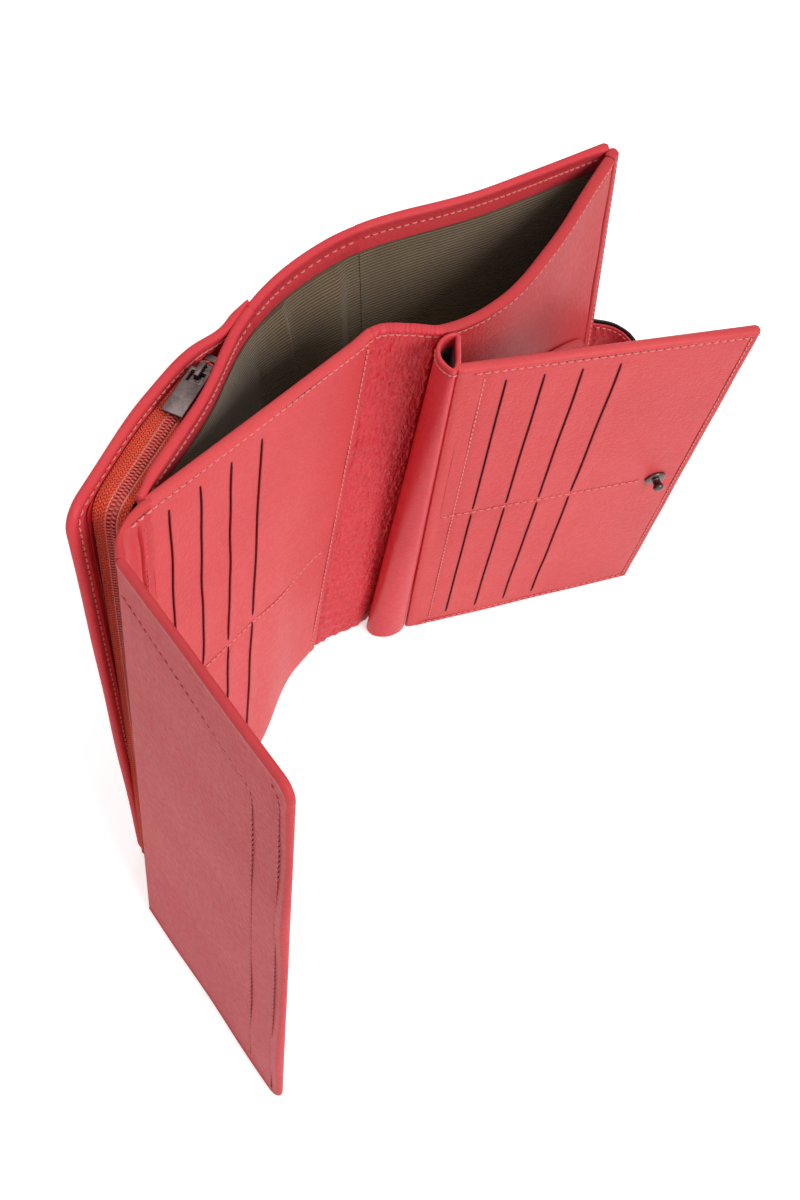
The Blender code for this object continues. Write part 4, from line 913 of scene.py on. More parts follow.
page_length = INNER.ruler(0.0, PAGE_END)[1][-1]
rows = Rows()
rows.along(INNER, 0.0, PAGE_END, [(0.5 * MM, HEIGHT - STITCH_IN), (page_length, HEIGHT - STITCH_IN)], 0.0)
page_edge = page_length - PAGE_EDGE_STITCH
rows.along(INNER, 0.0, PAGE_END, [(page_edge, HEIGHT - 6 * MM), (page_edge, 2 * MM)], -0.1 * MM)
rows.along(INNER, 0.0, PAGE_END, MIDDLE_SEAM, 0.02 * MM)
rides(rows.make("left_page_stitches", THREAD), "left_half", slot="card_leather")

pocket_cloths("left", INNER, 0.12, 3.22, 5, "left_half")

page_lining = shell(
    "left_page_grosgrain", INNER, 0.0, PAGE_END, constant(LINING_FRONT),
    lambda p: LINING_BACK - 0.10 * MM * waves(p.u, p.v, 30 * MM, 6), RIBS, **LINING_FIT)
rides(page_lining, "left_half", "left_page_lining", slot="grosgrain")


# Inner spine strip

STRIP_START, STRIP_END, RIGHT_START = 3.70, 6.13, 6.06


def strip_front(p):
    """Sunk under both panels' edges, flush with them at the rim, crumpled between, with two
    short tucks below the rim next to the page."""
    sides = np.minimum(p.left, p.right)
    free = ease((sides - 0.9 * MM) / (2.2 * MM))
    fade = ease((p.top - 3.5 * MM) / (9 * MM))
    crumple = 1.2 * waves(p.u * 2.3, p.v, 7 * MM, 21, 12) + 1.1 * waves(p.u * 3.0, p.v, 3.6 * MM, 22, 12)
    sunk = -1.45 * MM + 1.0 * MM * free + 0.17 * MM * crumple * free * fade
    sunk += 0.38 * MM * waves(p.u * 2.0, p.v * 0.5, 26 * MM, 23) * free * fade
    flush = rolled(p.top) + seam(p.top - STITCH_IN) - 0.05 * MM * (1 - ease((sides - 0.4 * MM) / (0.8 * MM)))
    depth = sunk + (flush - sunk) * (1 - ease((p.top - 3.5 * MM) / (5 * MM)))
    for place in (2.6 * MM, 5.0 * MM):
        depth -= 0.5 * MM * bump(p.left - place, 0.5 * MM) * bump(p.top - 6.5 * MM, 3.2 * MM)
    return depth


def strip_back(p):
    """As deep as the lining down to the lip, then 1 mm behind the front."""
    behind_lip = p.top < LIP + 0.15 * MM
    return stepped(LINING_BACK, 0, p.top - LIP) * behind_lip + (strip_front(p) - 1.0 * MM) * ~behind_lip


spine_strip = shell(
    "inner_spine_leather", INNER, STRIP_START, STRIP_END, strip_front, strip_back, SPINE,
    edge=1.5 * MM, left_edge=0.5 * MM, step=0.7 * MM, rise=1.3 * MM, ends=("flush", "flush"))
SPINE_WAY = (0.82, 0.57)
MID_LEVEL = 0.1


def along_spine(amount):
    """Point on a level line through the origin, in the spine's direction."""
    return (SPINE_WAY[0] * amount, SPINE_WAY[1] * amount, MID_LEVEL)


SPINE_BLEND = (along_spine(-2.5 * MM), along_spine(19.0 * MM))
blends(spine_strip, "left_half", "right_half", *SPINE_BLEND, "inner_spine_strip", slot="spine_leather")
spine_lining = shell(
    "inner_spine_grosgrain", INNER, 3.76, 6.04, constant(LINING_FRONT), constant(LINING_BACK), RIBS,
    step=1.5 * MM, **LINING_FIT)
blends(spine_lining, "left_half", "right_half", *SPINE_BLEND, "inner_spine_lining", slot="grosgrain")
strip_length = INNER.ruler(STRIP_START, STRIP_END)[1][-1]
rows = Rows()
rows.along(INNER, STRIP_START, STRIP_END,
           [(1.5 * MM, HEIGHT - STITCH_IN), (strip_length - 1.5 * MM, HEIGHT - STITCH_IN)], 0.0)
blends(rows.make("inner_spine_stitches", THREAD), "left_half", "right_half", *SPINE_BLEND,
       slot="spine_leather")


# Right inner wall

SLIP_END, BORDER_START, RIGHT_END = 10.70, 10.735, 11.0
SLIP_START, SLIP_STOP = 7.6, SLIP_END - 0.12
SLIP_POCKET_TOP = 144.3 * MM
SLIP_CORNER = 6 * MM
SLIP_STITCH = 3.4 * MM
WALL_STITCH = 2.2 * MM


def wall_front(p):
    """A turned rim and soft waves, less the furrows of two rows of stitches."""
    depth = rolled(p.top) + 0.2 * MM * waves(p.u, p.v, 45 * MM, 31)
    return depth + seam(p.top - STITCH_IN) + seam(p.left - WALL_STITCH, 0.2 * MM)


inner_wall = shell(
    "right_inner_wall", INNER, RIGHT_START, SLIP_END, wall_front, turned_back, SHADED_WALL_LEATHER,
    edge=1.5 * MM, left_edge=0.6 * MM, ends=("tucked", "tucked"))
rides(inner_wall, "right_half", "right_slip_panel", slot="wall_leather")
inner_border = shell(
    "right_edge_binding", INNER, BORDER_START, RIGHT_END,
    lambda p: 0.25 * MM * bump(p.u - p.length / 2, 1.6 * MM) + seam(p.u - p.length / 2, 0.2 * MM),
    lambda p: -3.75 * MM + 0.5 * MM * ease(p.top / (12 * MM)), SHADED_WALL_LEATHER,
    edge=1.0 * MM, left_edge=0.8 * MM, step=1.2 * MM)
rides(inner_border, "right_half", "right_edge_border", slot="wall_leather")


def slip_crown(from_end):
    """The pocket's mouth slants down towards the free edge and turns its corner there."""
    short = np.clip(SLIP_CORNER - from_end, 0, None)
    corner = SLIP_CORNER - np.sqrt(np.clip(SLIP_CORNER ** 2 - short ** 2, 0, None))
    return np.minimum(103 * MM + 0.565 * np.clip(from_end, 0, None), SLIP_POCKET_TOP) - corner


def slip_front(p):
    """1.5 mm proud of the wall, with a turned mouth, soft waves and the furrow of its stitches."""
    depth = 1.5 * MM + rolled(p.top, 0.35 * MM, 1.2 * MM) + 0.15 * MM * waves(p.u, p.v, 40 * MM, 33)
    return depth + seam(p.top - SLIP_STITCH, 0.2 * MM)


slip_pocket = shell(
    "right_slip_pocket_front", INNER, SLIP_START, SLIP_STOP, slip_front,
    constant(0.3 * MM), SHADED_WALL_LEATHER, high=SLIP_POCKET_TOP, edge=0.6 * MM, left_edge=0.5 * MM, step=1.5 * MM,
    crown=slip_crown)
rides(slip_pocket, "right_half", "right_slip_pocket", slot="wall_leather")
right_lining = shell(
    "right_inner_grosgrain", INNER, RIGHT_START, BORDER_START + 0.10, constant(LINING_FRONT),
    lambda p: LINING_BACK - 0.1 * MM * waves(p.u, p.v, 34 * MM, 34), RIBS, **LINING_FIT)
rides(right_lining, "right_half", "right_inner_lining", slot="grosgrain")
wall_length = INNER.ruler(RIGHT_START, SLIP_END)[1][-1]
border_length = INNER.ruler(BORDER_START, RIGHT_END)[1][-1]
pocket_length = INNER.ruler(SLIP_START, SLIP_STOP)[1][-1]
rows = Rows()
rows.along(INNER, RIGHT_START, SLIP_END,
           [(1 * MM, HEIGHT - STITCH_IN), (wall_length - MM, HEIGHT - STITCH_IN)], 0.05 * MM)
rows.along(INNER, RIGHT_START, SLIP_END, [(WALL_STITCH, HEIGHT - 6 * MM), (WALL_STITCH, 2 * MM)], -0.05 * MM)
rows.along(INNER, BORDER_START, RIGHT_END,
           [(border_length / 2, HEIGHT - 3 * MM), (border_length / 2, 2 * MM)], 0.02 * MM)
mouth = np.linspace(2 * MM, pocket_length - 2.5 * MM, 24)
rides(rows.make("right_wall_stitches", THREAD), "right_half", slot="wall_leather")
rows = Rows()
rows.along(INNER, SLIP_START, SLIP_STOP,
           np.stack([mouth, slip_crown(pocket_length - mouth) - SLIP_STITCH], axis=1), 1.45 * MM)
rides(rows.make("slip_pocket_stitches", SHADED_THREAD), "right_half", slot="wall_leather")


# Outer walls

def outer_front(roll, near_start=False, near_end=False):
    """Leather behind the lining, with a turned band that covers the lining's top. It comes
    forward where it is sewn to the inner wall's free edge."""
    def depth(p):
        d = stepped(0.15 * MM, LEATHER_FRONT, p.top - BAND) + rolled(p.top, roll)
        if near_start:
            d = d + 0.75 * MM * (1 - ease(p.left / (8 * MM)))
        if near_end:
            d = d + 0.75 * MM * (1 - ease(p.right / (8 * MM)))
            below = ease((p.top - 2 * MM) / (10 * MM))
            d = d + 1.05 * MM * (1 - ease((p.right - 2.4 * MM) / (3 * MM))) * below
        puffed = 0.18 * MM * bump(p.top - BAND + 2.4 * MM, 1.8 * MM) * waves(p.u, 0 * p.v, 9 * MM, 44, 5)
        return d + seam(p.top - BAND_STITCH, 0.34 * MM) + puffed
    return depth


def outer_back(back, seed, roll, tapers=False):
    """Back of an outer wall: waved, with a hump at the rim and a furrow under the band's
    stitches. The divider tapers to two fifths of its depth at its free edge."""
    def depth(p):
        share = 1 - 0.6 * (1 - ease(p.left / (13 * MM))) if tapers else 1.0
        return back * share - rolled(p.top, roll * share) - seam(p.top - BAND_STITCH, 0.25 * MM) \
            - 0.22 * MM * waves(p.u, p.v, 48 * MM, seed)
    return depth


# Each pleat: its station at the rim and at mid height, its two slopes' runs and its height
FOLDS = ((12.0, 11.85, 16 * MM, 2.6 * MM, 3.6 * MM), (16.0, 15.5, 22 * MM, 4 * MM, 2.8 * MM))


def lining_front(start, seed):
    """Lining with soft waves and two upright pleats: each rises slowly from the left and
    drops fast to its right, and dies out at the band and at the foot."""
    def depth(p):
        d = 0.18 * MM * waves(p.u, p.v, 42 * MM, seed)
        fade = ease(p.v / (90 * MM)) * (0.35 + 0.65 * ease(p.top / (14 * MM)))
        for top, middle, rising, falling, height in FOLDS:
            marks, run = OUTER.ruler(start, OUTER_END)
            ridge = np.interp(top + (middle - top) * p.top / (HEIGHT / 2), marks, run, left=-1, right=9)
            away = p.u - ridge
            slopes = np.clip(1 + away / rising, 0, 1), np.clip(1 - away / falling, 0, 1)
            d = d + height * fade * np.where(away < 0, *slopes)
        return d
    return depth


# Each wall: name, stations, back, the solids of its lining and leather, finish, seed, roll and ends
outer_pieces = (
    ("divider", -0.06, JOIN, DIVIDER_BACK, "divider_lining", "divider_panel",
     COVER_LEATHER, 41, 0.62 * MM, ("round", "flush")),
    ("spine_cover", JOIN + 0.03, SPINE_END + 0.15, COVER_BACK, "spine_lining", "spine_cover",
     COVER_SOFT, 42, 0.42 * MM, ("round", "flush")),
    ("right_cover", SPINE_END + 0.14, OUTER_END, COVER_BACK, "right_cover_lining", "right_back_cover",
     COVER_LEATHER, 43, 0.42 * MM, ("flush", "round")),
)
OUTER_BLEND = (along_spine(-7.5 * MM), along_spine(28.0 * MM))
for name, start, end, back, lining_node, leather_node, surface, seed, roll, ends in outer_pieces:
    fine = {"step": 1.5 * MM, "rise": 3 * MM} if name == "spine_cover" else {"step": 3 * MM}
    skin = shell(
        name + "_leather", OUTER, start, end, outer_front(roll, name == "divider", name == "right_cover"),
        outer_back(back, seed, roll, name == "divider"), surface, edge=1.0 * MM, left_edge=0.3 * MM,
        ends=ends, **fine)
    lining = shell(
        name + "_grosgrain", OUTER, start, end, lining_front(start, seed + 10), constant(-0.45 * MM), RIBS,
        low=LINING_FIT["low"], high=HEIGHT - BAND - 0.05 * MM, edge=0.2 * MM, left_edge=0.2 * MM,
        ends=("flush", "flush"), **fine)
    length = OUTER.ruler(start, end)[1][-1]
    rows = Rows()
    level = HEIGHT - BAND_STITCH
    line = [(1.5 * MM, level), (length - 1.5 * MM, level)]
    rows.along(OUTER, start, end, line, 0.15 * MM)
    rows.along(OUTER, start, end, line, back, side=-1.0)
    stitches = rows.make(name + "_stitches", THREAD)
    if name == "spine_cover":
        blends(skin, "left_half", "right_half", *OUTER_BLEND, leather_node, slot="leather")
        blends(lining, "left_half", "right_half", *OUTER_BLEND, lining_node, slot="grosgrain")
        blends(stitches, "left_half", "right_half", *OUTER_BLEND, slot="leather")
    else:
        body = "left_half" if name == "divider" else "right_half"
        rides(skin, body, leather_node, slot="back_leather")
        rides(lining, body, lining_node, slot="grosgrain")
        rides(stitches, body, slot="back_leather")

COVER_CORNER, COVER_BAND, COVER_LAP = 8 * MM, 6 * MM, -0.22
COVER_LAST = float(len(COVER_RIM))
COVER_ROLL, COVER_STITCH_MORE = 0.42 * MM, 0.4 * MM


def cover_front(p):
    """Thins to its seam with the divider, with a turned rim, a furrow of stitches and waves."""
    depth = 2.2 * MM - 1.5 * MM * (1 - ease(p.left / (12 * MM))) + rolled(p.rim, COVER_ROLL)
    depth = depth + seam(p.rim - STITCH_IN - COVER_STITCH_MORE, 0.25 * MM)
    return depth + 0.2 * MM * waves(p.u, p.v, 45 * MM, 61)


def cover_behind(p):
    """Steps in where the turned band ends, with the same rim and furrow as in front."""
    depth = stepped(-0.1 * MM, 0.8 * MM, p.rim - COVER_BAND) - rolled(p.rim, COVER_ROLL)
    return depth - seam(p.rim - STITCH_IN - COVER_STITCH_MORE, 0.3 * MM)


free_cover = shell(
    "outer_cover_leather", COVER, COVER_LAP, COVER_LAST, cover_front, cover_behind,
    COVER_LEATHER, corner=COVER_CORNER, edge=1.3 * MM, left_edge=0.9 * MM, step=3 * MM)
rides(free_cover, "left_half", "left_outer_cover", slot="leather")
# painted shade: the cover's inside takes the darker red of the shaded zip pocket
inside_cover = shell(
    "outer_cover_inside", COVER, 0.0, 3.82,
    constant(0.55 * MM), lambda p: 0.0 * p.u - 0.15 * MM * waves(p.u, p.v, 40 * MM, 62), SHADED_POCKET_LEATHER,
    low=LINING_FIT["low"], high=HEIGHT - COVER_BAND - 0.1 * MM, corner=4 * MM, edge=0.25 * MM,
    left_edge=0.25 * MM)
rides(inside_cover, "left_half", "left_outer_lining", slot="wall_leather")
cover_length = COVER.ruler(0.0, COVER_LAST)[1][-1]
cover_inset = STITCH_IN + COVER_STITCH_MORE


def corner_path(length, inset, radius, start=1.5 * MM, low=2.5 * MM, high=HEIGHT, both=False):
    """Row of stitches along the top, round the corner and down the free edge."""
    turn = np.linspace(np.pi / 2, 0, 7)
    r = max(radius - inset, 0.6 * MM)
    top = [(start, high - inset)]
    arc = [(length - inset - r + r * math.cos(a), high - inset - r + r * math.sin(a)) for a in turn]
    path = top + arc
    if both:
        arc = [(length - inset - r + r * math.cos(a), low + inset + r - r * math.sin(a)) for a in turn[::-1]]
        return path + arc + [(start, low + inset)]
    return path + [(length - inset, low)]


rows = Rows()
cover_line = corner_path(cover_length, cover_inset, COVER_CORNER)
rows.along(COVER, 0.0, COVER_LAST, cover_line, -0.1 * MM, side=-1.0)
rows.along(COVER, 0.0, COVER_LAST, cover_line, 2.2 * MM)
rides(rows.make("outer_cover_stitches", THREAD), "left_half", slot="leather")


# Leaf

LEAF_SLIT = 15.5 * MM - LEAF_START
LEAF_CORNER, FLAP_CORNER = 1.4 * MM, 6 * MM
leaf_s = LEAF_START / LEAF_W
leaf_length = LEAF_W - LEAF_START
STUD_U = STUD_S - LEAF_START
leaf_seam = [(0.5 * MM, STUD_Z), (STUD_U - 6 * MM, STUD_Z)]


def leaf_front(p):
    """Slit lips, a turned edge and waves, less its furrows, dished round the stud."""
    depth = slit_lips(p, LEAF_SLIT) + rolled(p.rim, 0.3 * MM) + 0.1 * MM * waves(p.u, p.v, 44 * MM, 71)
    depth += seam(p.rim - STITCH_IN) + seam(p.left - 5 * MM, 0.2 * MM)
    depth += seam(seam_line_distance(p, leaf_seam), 0.18 * MM)
    stud = np.hypot(p.u - STUD_U, p.v - STUD_Z)
    return depth * ease((stud - 3 * MM) / (3 * MM)) - 0.25 * MM * bump(stud, 5.5 * MM)


LEAF_BACK = -3.7 * MM
stud_marks = np.array([-6, -4.5, -3.5, -2.5, -1.2, 0, 1.2, 2.5, 3.5, 4.5, 6]) * MM
leaf_face = shell(
    "leaf_card_face", LEAF, leaf_s, 1.0, leaf_front,
    lambda p: stepped(LEAF_BACK, -PANEL_T, p.rim - LIP) - rolled(p.rim, 0.15 * MM), CARD,
    corner=LEAF_CORNER, edge=1.6 * MM, ends=("flush", "round"), slits=slit_boxes(LEAF_SLIT),
    step=2.5 * MM, rise=4 * MM, wander=slit_wander(LEAF_SLIT, 75, 0.09 * MM),
    u_marks=np.concatenate([[4.4 * MM, 5 * MM, 5.6 * MM], STUD_U + stud_marks]), v_marks=STUD_Z + stud_marks)
rides(leaf_face, "leaf", "leaf_card_panel", slot="card_leather")
pocket_cloths("leaf", LEAF, leaf_s + 0.04, 0.79, 7, "leaf")


def leaf_behind(p):
    """Waved, a little in front of the leaf's turned edge, with a furrow of stitches."""
    waved = LEAF_BACK + 0.1 * MM - 0.15 * MM * waves(p.u, p.v, 50 * MM, 72)
    return waved - seam(p.rim - 1.6 * MM, 0.2 * MM)


leaf_back = shell(
    "leaf_back_leather", LEAF, leaf_s, 1.0 - (LIP + TUCK) / LEAF_W, constant(-2.6 * MM), leaf_behind,
    PAGE, low=LIP + TUCK, high=HEIGHT - LIP - TUCK, corner=2 * MM, edge=0.5 * MM, left_edge=0.6 * MM)
rides(leaf_back, "leaf", "leaf_back_panel", slot="leather")
hinge = shell(
    "leaf_hinge_leather", LEAF, -0.008, leaf_s + 0.004,
    lambda p: -0.03 * MM - 0.5 * MM * bump(p.left, 1.2 * MM) + rolled(p.top),
    lambda p: stepped(LEAF_BACK, -2.5 * MM, p.top - LIP, 1.5 * MM) - rolled(p.top, 0.15 * MM), CARD_SOFT,
    edge=1.6 * MM, left_edge=0.4 * MM, step=0.35 * MM, rise=3 * MM, ends=("round", "flush"))
hinge_start, hinge_end = LEAF.at(0.004, MID_LEVEL), LEAF.at(leaf_s - 0.004, MID_LEVEL)
blends(hinge, "right_half", "leaf", hinge_start, hinge_end, "leaf_hinge_strip", slot="leather")
rows = Rows()
rows.along(LEAF, leaf_s, 1.0, corner_path(leaf_length, STITCH_IN, LEAF_CORNER, low=0.0, both=True), 0.02 * MM)
rows.along(LEAF, leaf_s, 1.0, [(5 * MM, HEIGHT - 6 * MM), (5 * MM, 6 * MM)], -0.05 * MM)
rows.along(LEAF, leaf_s, 1.0, leaf_seam, 0.0)
rows.along(LEAF, leaf_s, 1.0, corner_path(leaf_length, LIP + 2.0 * MM, LEAF_CORNER, low=0.0, both=True),
           LEAF_BACK + 0.15 * MM, side=-1.0)
rides(rows.make("leaf_stitches", THREAD), "leaf", slot="card_leather")


# Flap

FLAP_SECOND_IN, FLAP_FIRST_IN = 17.5 * MM, 4.6 * MM
flap_second = [(1.5 * MM, HEIGHT - 13.5 * MM), (FLAP_W - 21 * MM, HEIGHT - 22 * MM),
               (FLAP_W - 18.6 * MM, HEIGHT - 23.2 * MM), (FLAP_W - 17.6 * MM, HEIGHT - 26 * MM),
               (FLAP_W - FLAP_SECOND_IN, HEIGHT - 30 * MM), (FLAP_W - FLAP_SECOND_IN, 6 * MM)]
flap_first = [(FLAP_W - 9 * MM, HEIGHT - 6 * MM), (FLAP_W - 5.6 * MM, HEIGHT - 9 * MM),
              (FLAP_W - FLAP_FIRST_IN, HEIGHT - 13 * MM), (FLAP_W - FLAP_FIRST_IN, 3 * MM)]


def flap_front(p):
    """A turned edge and waves that die out at the bend, less the furrows of its two seams."""
    depth = rolled(p.rim, 0.3 * MM) + 0.35 * MM * waves(p.u, p.v, 60 * MM, 81) * ease(p.left / (15 * MM))
    for line in (flap_first, flap_second):
        depth = depth + seam(seam_line_distance(p, line), 0.16 * MM)
    return depth


FLAP_BACK = -2.4 * MM
second_u = FLAP_W - FLAP_SECOND_IN + np.array([-3, -1.5, -0.8, -0.4, 0, 0.4, 0.8, 1.5]) * MM
second_v = HEIGHT - np.arange(10, 31, 0.8) * MM
flap_face = shell(
    "flap_outer_leather", FLAP, 0.0, 1.0, flap_front,
    lambda p: stepped(FLAP_BACK, -PANEL_T, p.rim - LIP) - rolled(p.rim, 0.2 * MM), SHADED_FLAP_LEATHER,
    corner=FLAP_CORNER, edge=1.3 * MM, step=2.5 * MM, u_marks=second_u, v_marks=second_v,
    ends=("flush", "round"))
rides(flap_face, "flap", "flap_outer", slot="flap_leather")
flap_in = shell(
    "flap_inside_leather", FLAP, 0.0, 1.0 - (LIP + TUCK) / FLAP_W, constant(-1.5 * MM),
    lambda p: FLAP_BACK + 0.1 * MM - 0.12 * MM * waves(p.u, p.v, 50 * MM, 82), PAGE,
    low=LIP + TUCK, high=HEIGHT - LIP - TUCK, corner=4 * MM, edge=0.4 * MM, left_edge=0.4 * MM)
rides(flap_in, "flap", "flap_inner", slot="leather")
FLAP_POCKET_IN, FLAP_POCKET_BACK = 11 * MM, -3.3 * MM


def flap_pocket_back(p):
    """Waved, with a turned mouth and a furrow of stitches below it and at the free side."""
    depth = FLAP_POCKET_BACK - rolled(p.top, 0.15 * MM, 1.2 * MM) - 0.15 * MM * waves(p.u, p.v, 46 * MM, 83)
    return depth - seam(p.top - 2.6 * MM, 0.15 * MM) - seam(p.right - 2.0 * MM, 0.15 * MM)


flap_slip = shell(
    "flap_slip_pocket", FLAP, 0.0, 1.0 - FLAP_POCKET_IN / FLAP_W, constant(-2.6 * MM), flap_pocket_back,
    PAGE, high=HEIGHT - 22 * MM, edge=0.4 * MM, left_edge=0.4 * MM)
rides(flap_slip, "flap", "flap_pocket", slot="card_leather")
rows = Rows()
rows.along(FLAP, 0.0, 1.0, flap_first, 0.0)
rows.along(FLAP, 0.0, 1.0, flap_second, 0.0)
rides(rows.make("flap_stitches", SHADED_THREAD), "flap", slot="flap_leather")
rows = Rows()
pocket_side, pocket_level = FLAP_W - FLAP_POCKET_IN - 2 * MM, HEIGHT - 24.6 * MM
rows.along(FLAP, 0.0, 1.0, corner_path(FLAP_W, STITCH_IN, FLAP_CORNER, low=0.0, both=True),
           FLAP_BACK - 0.05 * MM, side=-1.0)
rows.along(FLAP, 0.0, 1.0, [(1.5 * MM, pocket_level), (pocket_side, pocket_level), (pocket_side, 2 * MM)],
           FLAP_POCKET_BACK, side=-1.0)
rides(rows.make("flap_inside_stitches", THREAD), "flap", slot="leather")


CREASE = 6.6 * MM
CREASE_STITCH = 2.6 * MM  # from the crease back to the row beside it
BEND_STATIONS = (-0.24, 3.0)


def bend_end(p):
    """Grows from 0 to 1 over the last 8 mm, where the bend takes on the flap's thickness."""
    return ease((8 * MM - p.right) / (8 * MM))


def bend_folds(p):
    """Soft waves; on the page's side an upright valley below the rim with a puffed bank."""
    free = ease(p.left / (3 * MM)) * ease(p.right / (3 * MM))
    tall = ease((p.top - 5.0 * MM) / (5 * MM)) * ease((56 * MM - p.top) / (22 * MM))
    away = p.left - CREASE + 0.03 * p.top
    valley = 2.3 * bump(away, 0.6 * MM) - 1.2 * bump(away - 2.5 * MM, 2.4 * MM) * free
    return 0.2 * MM * waves(p.u, p.v * 0.6, 16 * MM, 91) * free, MM * valley * tall


def bend_front(p):
    """Thins to the flap, with a lip by the page, a turned rim, the waves and the valley's crest."""
    soft, valley = bend_folds(p)
    lip = 1.2 * MM * (1 - ease((p.top - LIP) / (2.5 * MM))) * (1 - ease(p.left / (12 * MM)))
    depth = 0.6 * MM * (1 - bend_end(p)) + lip + rolled(p.top, 0.3 * MM) + soft
    return depth + np.clip(valley - 0.9 * MM, 0, None)


def bend_back(p):
    """Thickens to the flap, less the furrows of two rows of stitches, with waves and valley."""
    soft, valley = bend_folds(p)
    end = -0.62 * MM - 1.7 * MM * bend_end(p) - rolled(p.top)
    return end - seam(p.top - STITCH_IN) - seam(p.left - CREASE + CREASE_STITCH, 0.14 * MM) + soft + valley


flap_bend = shell(
    "flap_bend_leather", BEND, *BEND_STATIONS, bend_front, bend_back,
    SHADED_FLAP_BEND, edge=1.4 * MM, step=0.45 * MM, rise=3 * MM, ends=("flush", "flush"))
BEND_BLEND = (BEND.at(0.15, MID_LEVEL), BEND.at(2.85, MID_LEVEL))
blends(flap_bend, "left_half", "flap", *BEND_BLEND, "flap_bend", slot="flap_leather")
rows = Rows()
crease_row = CREASE - CREASE_STITCH
rows.along(BEND, *BEND_STATIONS, [(crease_row, HEIGHT - 8 * MM), (crease_row, 3 * MM)],
           -0.50 * MM, side=-1.0, pitch=2.2 * MM)
blends(rows.make("flap_bend_holes", SHADED_THREAD), "left_half", "flap", *BEND_BLEND, slot="flap_leather")
rows = Rows()
rows.along(BEND, *BEND_STATIONS,
           [(0.4 * MM, HEIGHT - STITCH_IN), (CREASE + 3 * MM, HEIGHT - STITCH_IN - 0.6 * MM)],
           -0.62 * MM, side=-1.0, pitch=3.0 * MM)
rim_stitches = rows.make("flap_bend_stitches", THREAD, length=2.3 * MM, width=0.9 * MM)
blends(rim_stitches, "left_half", "flap", *BEND_BLEND, slot="flap_leather")


# Pen loop

class Outline:
    """Closed ring of smooth points whose shape changes evenly from foot to rim."""

    def __init__(self, foot, rim):
        self.rings = (mm(foot), mm(rim))

    def line(self, which, turn):
        """Closed uniform cubic through the ring's points."""
        ring = self.rings[which]
        count = len(ring)
        index = np.floor(turn * count).astype(int)
        t = (turn * count - index)[..., None]
        before, here, after, beyond = (ring[(index + k) % count] for k in (-1, 0, 1, 2))
        place = here * (2 * t**3 - 3 * t**2 + 1) + (after - before) / 2 * (t**3 - 2 * t**2 + t)
        return place + after * (3 * t**2 - 2 * t**3) + (beyond - here) / 2 * (t**3 - t**2)

    def at(self, turn, z, inset):
        """Point of the ring at a turn and height, moved inwards by an inset."""
        share = (z / HEIGHT)[..., None]

        def spot(t):
            return self.line(0, t % 1.0) * (1 - share) + self.line(1, t % 1.0) * share

        run = unit(spot(turn + NUDGE) - spot(turn - NUDGE))
        inward = np.stack([-run[..., 1], run[..., 0]], axis=-1)
        plan = spot(turn) + inward * inset[..., None] - SHIFT
        return np.concatenate([plan, z[..., None]], axis=-1)


LOOP = Outline(
    [(-5, 57.8), (-10, 52.2), (-11.9, 47.2), (-8.6, 43.6), (-2.6, 44.1), (2.2, 47.8), (3.4, 52.4), (0, 56.6)],
    [(3.7, 37.4), (0.2, 36.3), (-2.1, 32.2), (-1.9, 27.2), (0.8, 23.4), (4.2, 21.8), (5.5, 25.4), (4.8, 32)])


def tube(name, outline, outside, inside, low, high, surface, roll=0.0, around=96, edge=0.4 * MM):
    """Wall of a ring between two insets, carried up from low to high; its two rims are round."""
    drops = np.array([0, 0.05, 0.15, 0.3, 0.5, 0.8, 1.2, 1.8, 2.4, 2.8, 3.2, 3.6, 4.5]) * MM
    between = np.linspace(low + 6 * MM, high - 6 * MM, 34)
    rows = np.unique(np.concatenate([low + drops, high - drops, between]))
    turn = np.arange(around) / around
    t, z = np.meshgrid(turn, rows, indexing="ij")
    near = np.minimum(z - low, high - z)
    fullness = full(near, edge)
    middle = (outside + inside) / 2
    half = (inside - outside) / 2
    hump = bump(high - z - 1.3 * MM, 1.4 * MM)
    swell = -roll * hump + (roll > 0) * 0.22 * MM * bump(high - z - STITCH_IN, 0.55 * MM)
    inner = roll * 0.8 * hump
    outer_grid = outline.at(t, z, middle - half * fullness + swell * fullness)
    inner_grid = outline.at(t, z, middle + half * fullness + inner * fullness)
    nu, nv = t.shape
    index = np.arange(nu * nv).reshape(nu, nv)
    under = index + nu * nv
    under[:, 0], under[:, -1] = index[:, 0], index[:, -1]
    nxt = np.roll(index, -1, axis=0)
    nxt_under = np.roll(under, -1, axis=0)
    outer_faces = np.stack([index[:, :-1], nxt[:, :-1], nxt[:, 1:], index[:, 1:]], axis=-1).reshape(-1, 4)
    inner_faces = np.stack([under[:, :-1], under[:, 1:], nxt_under[:, 1:], nxt_under[:, :-1]], axis=-1)
    inner_faces = inner_faces.reshape(-1, 4)
    points = np.vstack([outer_grid.reshape(-1, 3), inner_grid.reshape(-1, 3)])
    maps = np.stack([t * 40 * MM, z], axis=-1).reshape(-1, 2)
    faces = np.vstack([outer_faces, inner_faces])
    used, faces = np.unique(faces, return_inverse=True)
    return build(name, points[used], faces.reshape(-1, 4), np.vstack([maps, maps])[used], surface)


pen_loop = tube("pen_loop_leather_tube", LOOP, 0.0, PANEL_T, 0.0, HEIGHT, ROLL, roll=0.25 * MM,
                edge=1.0 * MM)
rides(pen_loop, "right_half", "pen_loop", slot="spine_leather")
pen_lining = tube("pen_loop_cloth_tube", LOOP, 1.25 * MM, 1.55 * MM, LINING_FIT["low"], HEIGHT - 6 * MM,
                  LOOP_CLOTH, edge=0.2 * MM)
rides(pen_lining, "right_half", "pen_loop_lining", slot="pocket_cloth")


